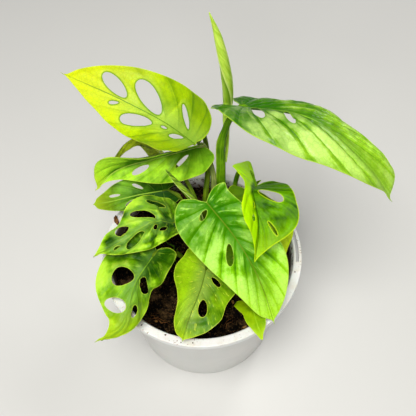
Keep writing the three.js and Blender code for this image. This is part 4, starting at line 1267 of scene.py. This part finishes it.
small_skin = leaf_skin(
    "small pointed leaf", deep=(0.12, 0.3, 0.0005), light=(0.34, 0.56, 0.001),
    vein=(0.3, 0.55, 0.01),
    rim=(0.6, 0.78, 0.03), tip=(0.42, 0.62, 0.005), under=(0.3, 0.5, 0.01),
    pale_vein=0.1, valley=0.08, slant=0.0, patches=0.9,
)
front_skin = leaf_skin(
    "streaked olive leaf", deep=(0.035, 0.14, 0.0005), light=(0.36, 0.65, 0.006),
    vein=(0.1, 0.22, 0.004), rim=(0.7, 0.8, 0.06), tip=(0.45, 0.68, 0.008), under=(0.22, 0.34, 0.02),
    core=(0.27, 0.42, 0.06), rib=(0.1, 0.17, 0.01), core_share=0.75, gloss=0.38, streaks=0.85,
    pale_vein=0.15, valley=0.08, slant=0.05, shine=0.14, left_tone=0.08, right_tone=0.4,
)
make_leaf("leaf_front_grown", FRONT, front_skin, OLIVE_STALK)
make_leaf("leaf_small_grown", SMALL, small_skin, OLIVE_STALK)


# ==== The two holed leaves at the left ====
# The most pierced leaves of the plant. One lies over the other like a fringe, with seven narrow
# holes; the lower has big round holes and drapes its long tip over the rim.

FRINGED = dict(
    rib=[(-13, 14, 98), (-29, 10, 105), (-45, 0, 103), (-63, -8, 97)],
    face=(0.01, -0.07, 1), twist=(-14, -1),
    left=(8.8, 16.5, 17.6, 18.1, 12.4, 6.8, 1.5), right=(8.2, 19.2, 19.3, 16.7, 9.3, 8, 3.2),
    fold=((14, 6, 7), (2, 8, 7)), curl=((13, -3, 1), (-5, 6, 2)), wave=(0.8, 3),
    holes=[
        (20.4, -6.9, 13.4, 4.5, -36), (11.9, -13.1, 10.4, 3.4, -20), (35.2, -4.9, 9.1, 4.9, -6),
        (31.4, 5, 13.4, 4.7, 14), (42.6, 2.8, 4.6, 2.2, 0), (17.5, 4.7, 4.2, 2, 41),
        (13.8, 8.4, 5.4, 2.8, 20),
    ],
    stalk=[(-5, 14), (-6, 15, 86), (-9, 15, 93)], girth=(1.4, 0.9),
    veins=8, quilt=1.6, wing=0.2, hole_rim=0.7, lip=1.5,
    folds=[
        (47.5, -3.1, 44, -3.8, -1.3, 1.9), (13.6, -7, 12.4, 0.5, 1.0, 1.2),
        (30, -13, 20, -12, -1.0, 1.4), (30, -6.6, 17.2, 1, 0.9, 1.2),
        (38, 8.5, 26.8, 12.8, 0.8, 1.5), (20, 10, 28, 10.5, -0.8, 1.3),
        (7, -10, 5.7, -1, -0.9, 2.0),
    ],
)
DRAPED = dict(
    rib=[(-26, -7, 101), (-38, -25, 96), (-44, -48, 91), (-58, -59, 94)],
    face=(-0.31, 0.07, 0.95), twist=(0, -4),
    left=(4.5, 18, 21.5, 20, 17, 8.5, 3.2), right=(8.2, 22.7, 24.3, 22.8, 15, 7.8, 1.5),
    fold=((14, 19, 13), (10, 9, 7)), curl=((-3, 14, 2), (7, 7, 2)), wave=(0.6, 3),
    holes=[
        (20.9, -8.4, 13.3, 8.8, -79), (35.6, -8.4, 13.5, 8.5, 79), (22.5, 9, 15.4, 5.7, 42),
        (38.3, 6, 7.1, 4.1, 7),
    ],
    stalk=[(-12, -2), (-13, -3, 88), (-20, -5, 97)], girth=(1.6, 1),
    veins=8, quilt=1.1, wing=0.2, hole_rim=0.5, lip=1.1,
    folds=[
        (18.6, -16.7, 14.6, -11.1, 0.9, 1.3), (14.6, -11.1, 15.8, -3.5, 0.9, 1.3),
        (8.6, 2, 7.8, 7.6, 0.9, 1.2), (13.5, 2, 17, 7.5, -0.8, 1.3), (6, -14, 9, -3, -0.9, 2.5),
        (19, 3.8, 34, 2.7, 0.6, 0.9),
    ],
)
fringed_skin = leaf_skin(
    "fringed leaf", deep=(0.01, 0.065, 0.0003), light=(0.32, 0.7, 0.003),
    vein=(0.24, 0.42, 0.03),
    rim=(0.55, 0.72, 0.05), tip=(0.42, 0.64, 0.01), under=(0.16, 0.3, 0.01),
    gloss=0.36, pale_vein=0.12, core=(0.17, 0.36, 0.05), core_share=0.75, core_reach=4.5,
    hole_share=0.6, patches=0.7, net=0.02, shine=0.12, joint_share=0.75, joint_to=0.4, valley=0.3,
    left_tone=-0.62, right_tone=-0.62, outward=0.75, strand=0.2, sheen=(0.5, 0.8, 0.05), crests=0.45,
)
draped_skin = leaf_skin(
    "draped leaf", deep=(0.012, 0.07, 0.0003), light=(0.29, 0.66, 0.002),
    vein=(0.2, 0.4, 0.02),
    rim=(0.55, 0.72, 0.05), tip=(0.45, 0.64, 0.01), under=(0.18, 0.32, 0.01),
    gloss=0.38, pale_vein=0.1, core=(0.16, 0.34, 0.045), core_share=0.8, core_reach=8.0,
    hole_share=0.3, patches=0.6, net=0.02, tip_from=0.4, shine=0.1, joint_share=0.8, joint_to=0.45,
    left_tone=-0.5, right_tone=-0.42, outward=0.65, strand=0.2, sheen=(0.46, 0.74, 0.04), crests=0.3,
)
make_leaf("leaf_left_fringed_grown", FRINGED, fringed_skin, OLIVE_STALK)
make_leaf("leaf_left_draped_grown", DRAPED, draped_skin, OLIVE_STALK)


# ==== The rolled new leaf and the young shoot ====
# Leaves that are still rolled up, pale and smooth. The blade winds round itself, so its free margin
# shows as a seam that climbs the roll, and the veins show as fine lines beside it.

def roll_skin(name, deep, light, line_colour):
    node, fade, blend, grain, finished = new_material(
        name, Specular_IOR_Level=0.2, Subsurface_Weight=0.15, Subsurface_Scale=0.0015
    )
    flat = node("Attribute", attribute_name="flat")["Vector"]
    wound = node("Attribute", attribute_name="wound")["Fac"]
    line = abs((wound * 9.0).fract() - 0.5)
    stretched = node("Mapping", {"Vector": flat, "Scale": (0.06, 0.5, 1.0)})
    colour = blend(fade(grain(stretched, 1.0, 3.0), 0.3, 0.7), deep, light)
    colour = blend(fade(line, 0.0, 0.12, 0.22, 0.0), colour, line_colour)
    # Painted shadow: a dark band in the line colour runs beside the seam, under the step of the free
    # margin.
    colour = blend(fade(wound, 0.0, 0.2, 0.95, 0.0), colour, line_colour)
    colour = blend(fade(wound, 0.93, 1.0, 0.0, 0.9), colour, (0.85, 0.98, 0.3))
    return finished(colour, fade(grain(flat, 0.8), 0.3, 0.7, 0.36, 0.5), line, 0.2, 0.0002)


def make_roll(name, route, girth, turns, seam_front, skin):
    """A rolled blade. Its free margin faces the front at seam_front of the way up."""
    step, sides, inner = 0.8, 48, 0.76
    line = evenly(spline(route, np.linspace(0, 1, 900)), step)
    up, across = tube_frames(line, np.array([0.0, -1.0, 0.3]))
    share = np.linspace(0, 1, len(line))[:, None]
    radius = np.interp(share, np.linspace(0, 1, len(girth)), girth)
    # The seam is a true step: two corners share its angle, one on each side of the free margin.
    wound = np.append(np.linspace(0, 1, sides - 1), 1.0)
    reach = radius * (inner + (1 - inner) * wound ** 2)
    reach[:, -1:] = radius * inner
    points = swept(line, up, across, 2 * np.pi * (wound + turns * (share - seam_front)), reach)
    piece = mesh_piece(name, points, ring_faces(len(line), sides), skin)
    piece.data.set_sharp_from_angle(angle=np.radians(50))
    add_values(piece.data, "wound", np.append(wound + 0 * share, [0, 0]))
    add_values(piece.data, "flat", unrolled(step, 2 * np.pi * wound * radius), "FLOAT_VECTOR")
    return piece


pale_roll = roll_skin("pale rolled leaf", (0.42, 0.72, 0.02), (0.74, 0.98, 0.14), (0.17, 0.36, 0.01))
shoot_green = roll_skin("young shoot", (0.05, 0.15, 0.002), (0.5, 0.8, 0.06), (0.05, 0.14, 0.002))
rolled = make_roll("new_leaf_roll", [
    (15.6, 41.5, 121), (16.5, 48.5, 129), (16, 54, 141), (16.5, 54.5, 156), (16, 52, 173),
    (14, 48.5, 192), (11, 46, 210), (7, 43.5, 225),
], (0.8, 1.7, 2.9, 3.4, 3.6, 3.1, 2.1, 0.3), 0.8, 0.52, pale_roll)
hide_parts("rolled_leaf")
shoot = make_roll("shoot_roll", [
    (3, 10.5, 68), (3, 10.5, 83), (-1, 16, 103), (-6, 20, 116), (-12, 20, 129), (-18, 19, 144),
], (1.5, 1.6, 1.9, 2.4, 1.9, 0.35), 0.6, 0.7, shoot_green)
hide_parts("young_shoot")
for roll in (rolled, shoot):
    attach(roll, "root")


# ==== The vine pieces ====
# Two short lengths of the vine itself, thick, ringed with old leaf scars and a little woody. The
# stalks stand round them, and they are rooted in the soil.

def make_vine(name, route, girth):
    step, sides, scar_every = 0.5, 32, 7.0
    line = evenly(spline(route, np.linspace(0, 1, 400)), step)
    up, across = tube_frames(line, np.array([1.0, 0.0, 0.0]))
    share = np.linspace(0, 1, len(line))[:, None]
    radius = np.interp(share, np.linspace(0, 1, len(girth)), girth)
    height = line[:, 2:]
    scars = 0.22 * np.exp(-(((height + 2.5) % scar_every - 3.5) / 0.45) ** 2)
    turn = full_turn(sides)
    reach = (radius + scars) * (1 + 0.05 * np.sin(5 * turn + 0.3 * height)) * 0.97
    reach = reach * np.interp(share, [0, 0.93, 1], [1, 1, 0.45])
    points = swept(line, up, across, turn, reach)
    piece = mesh_piece(name, points, ring_faces(len(line), sides, flipped=True), OLIVE_STALK)
    add_values(piece.data, "wing", np.zeros(len(points)))
    add_values(piece.data, "flat", unrolled(step, turn * radius), "FLOAT_VECTOR")
    return piece


for name, node_name, route, girth in (
    (
        "vine_back_stem", "vine_back",
        [(9, 21.5, 68), (9, 21.5, 80), (9.5, 22.5, 90), (10, 24, 98)], (3, 2.9, 2.6, 1.6),
    ),
    (
        "vine_left_stem", "vine_left",
        [(-12, 22, 68), (-12, 22, 78), (-13, 22, 86), (-15, 21, 92)], (2.4, 2.3, 2, 1.2),
    ),
):
    vine = make_vine(name, route, girth)
    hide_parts(node_name)
    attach(vine, "root")


# ==== Floor, light and camera ====
# A plain pale floor, three soft round lamps in an even studio, and a camera that looks down.

def make_stage():
    half = 3000
    corners = [(-half, -half, 0), (half, -half, 0), (half, half, 0), (-half, half, 0)]
    node, fade, blend, grain, finished = new_material("pale floor", Roughness=0.8)
    colour = blend(grain(node("TexCoord")["Object"], 3.0), (0.6, 0.6, 0.59), (0.66, 0.66, 0.65))
    mesh_piece("floor", corners, [(0, 1, 2, 3)], finished(colour))


def add_light(name, place, target_height, power, size, colour):
    lamp = bpy.data.lights.new(name, "AREA")
    lamp.energy = power
    lamp.shape = "DISK"
    lamp.size = size
    lamp.color = colour
    holder = add_object(name, lamp)
    holder.location = place
    aim = Vector((0, 0, target_height)) - Vector(place)
    holder.rotation_euler = aim.to_track_quat("-Z", "Y").to_euler()


make_stage()
add_light("overhead window", (-0.12, -0.32, 1.1), 0.1, 13.0, 0.6, (1.0, 0.98, 0.93))
add_light("front window", (-0.3, -1.0, 0.7), 0.1, 3.5, 0.3, (1.0, 0.99, 0.95))
add_light("back window", (0.5, 0.65, 0.95), 0.12, 3.5, 0.3, (1.0, 0.99, 0.95))

world = bpy.data.worlds.new("studio")
world.use_nodes = True
node_maker(world.node_tree).give(
    world.node_tree.nodes["Background"], {"Color": (0.97, 0.98, 1.0), "Strength": 0.09}
)
bpy.context.scene.world = world
bpy.context.scene.view_settings.view_transform = "Standard"

CAMERA_PLACE = (0.0043, -0.1667, 0.3832)
CAMERA_TILT = 56.2
CAMERA_ROLL = -1.4

lens = bpy.data.cameras.new("camera")
lens.sensor_width = 36.0
lens.lens = 48.46
lens.clip_start = 0.01
camera = add_object("camera", lens)
tilt = Matrix.Rotation(np.radians(90 - CAMERA_TILT), 4, "X")
roll = Matrix.Rotation(np.radians(CAMERA_ROLL), 4, "Z")
camera.matrix_world = Matrix.Translation(CAMERA_PLACE) @ tilt @ roll
bpy.context.scene.camera = camera
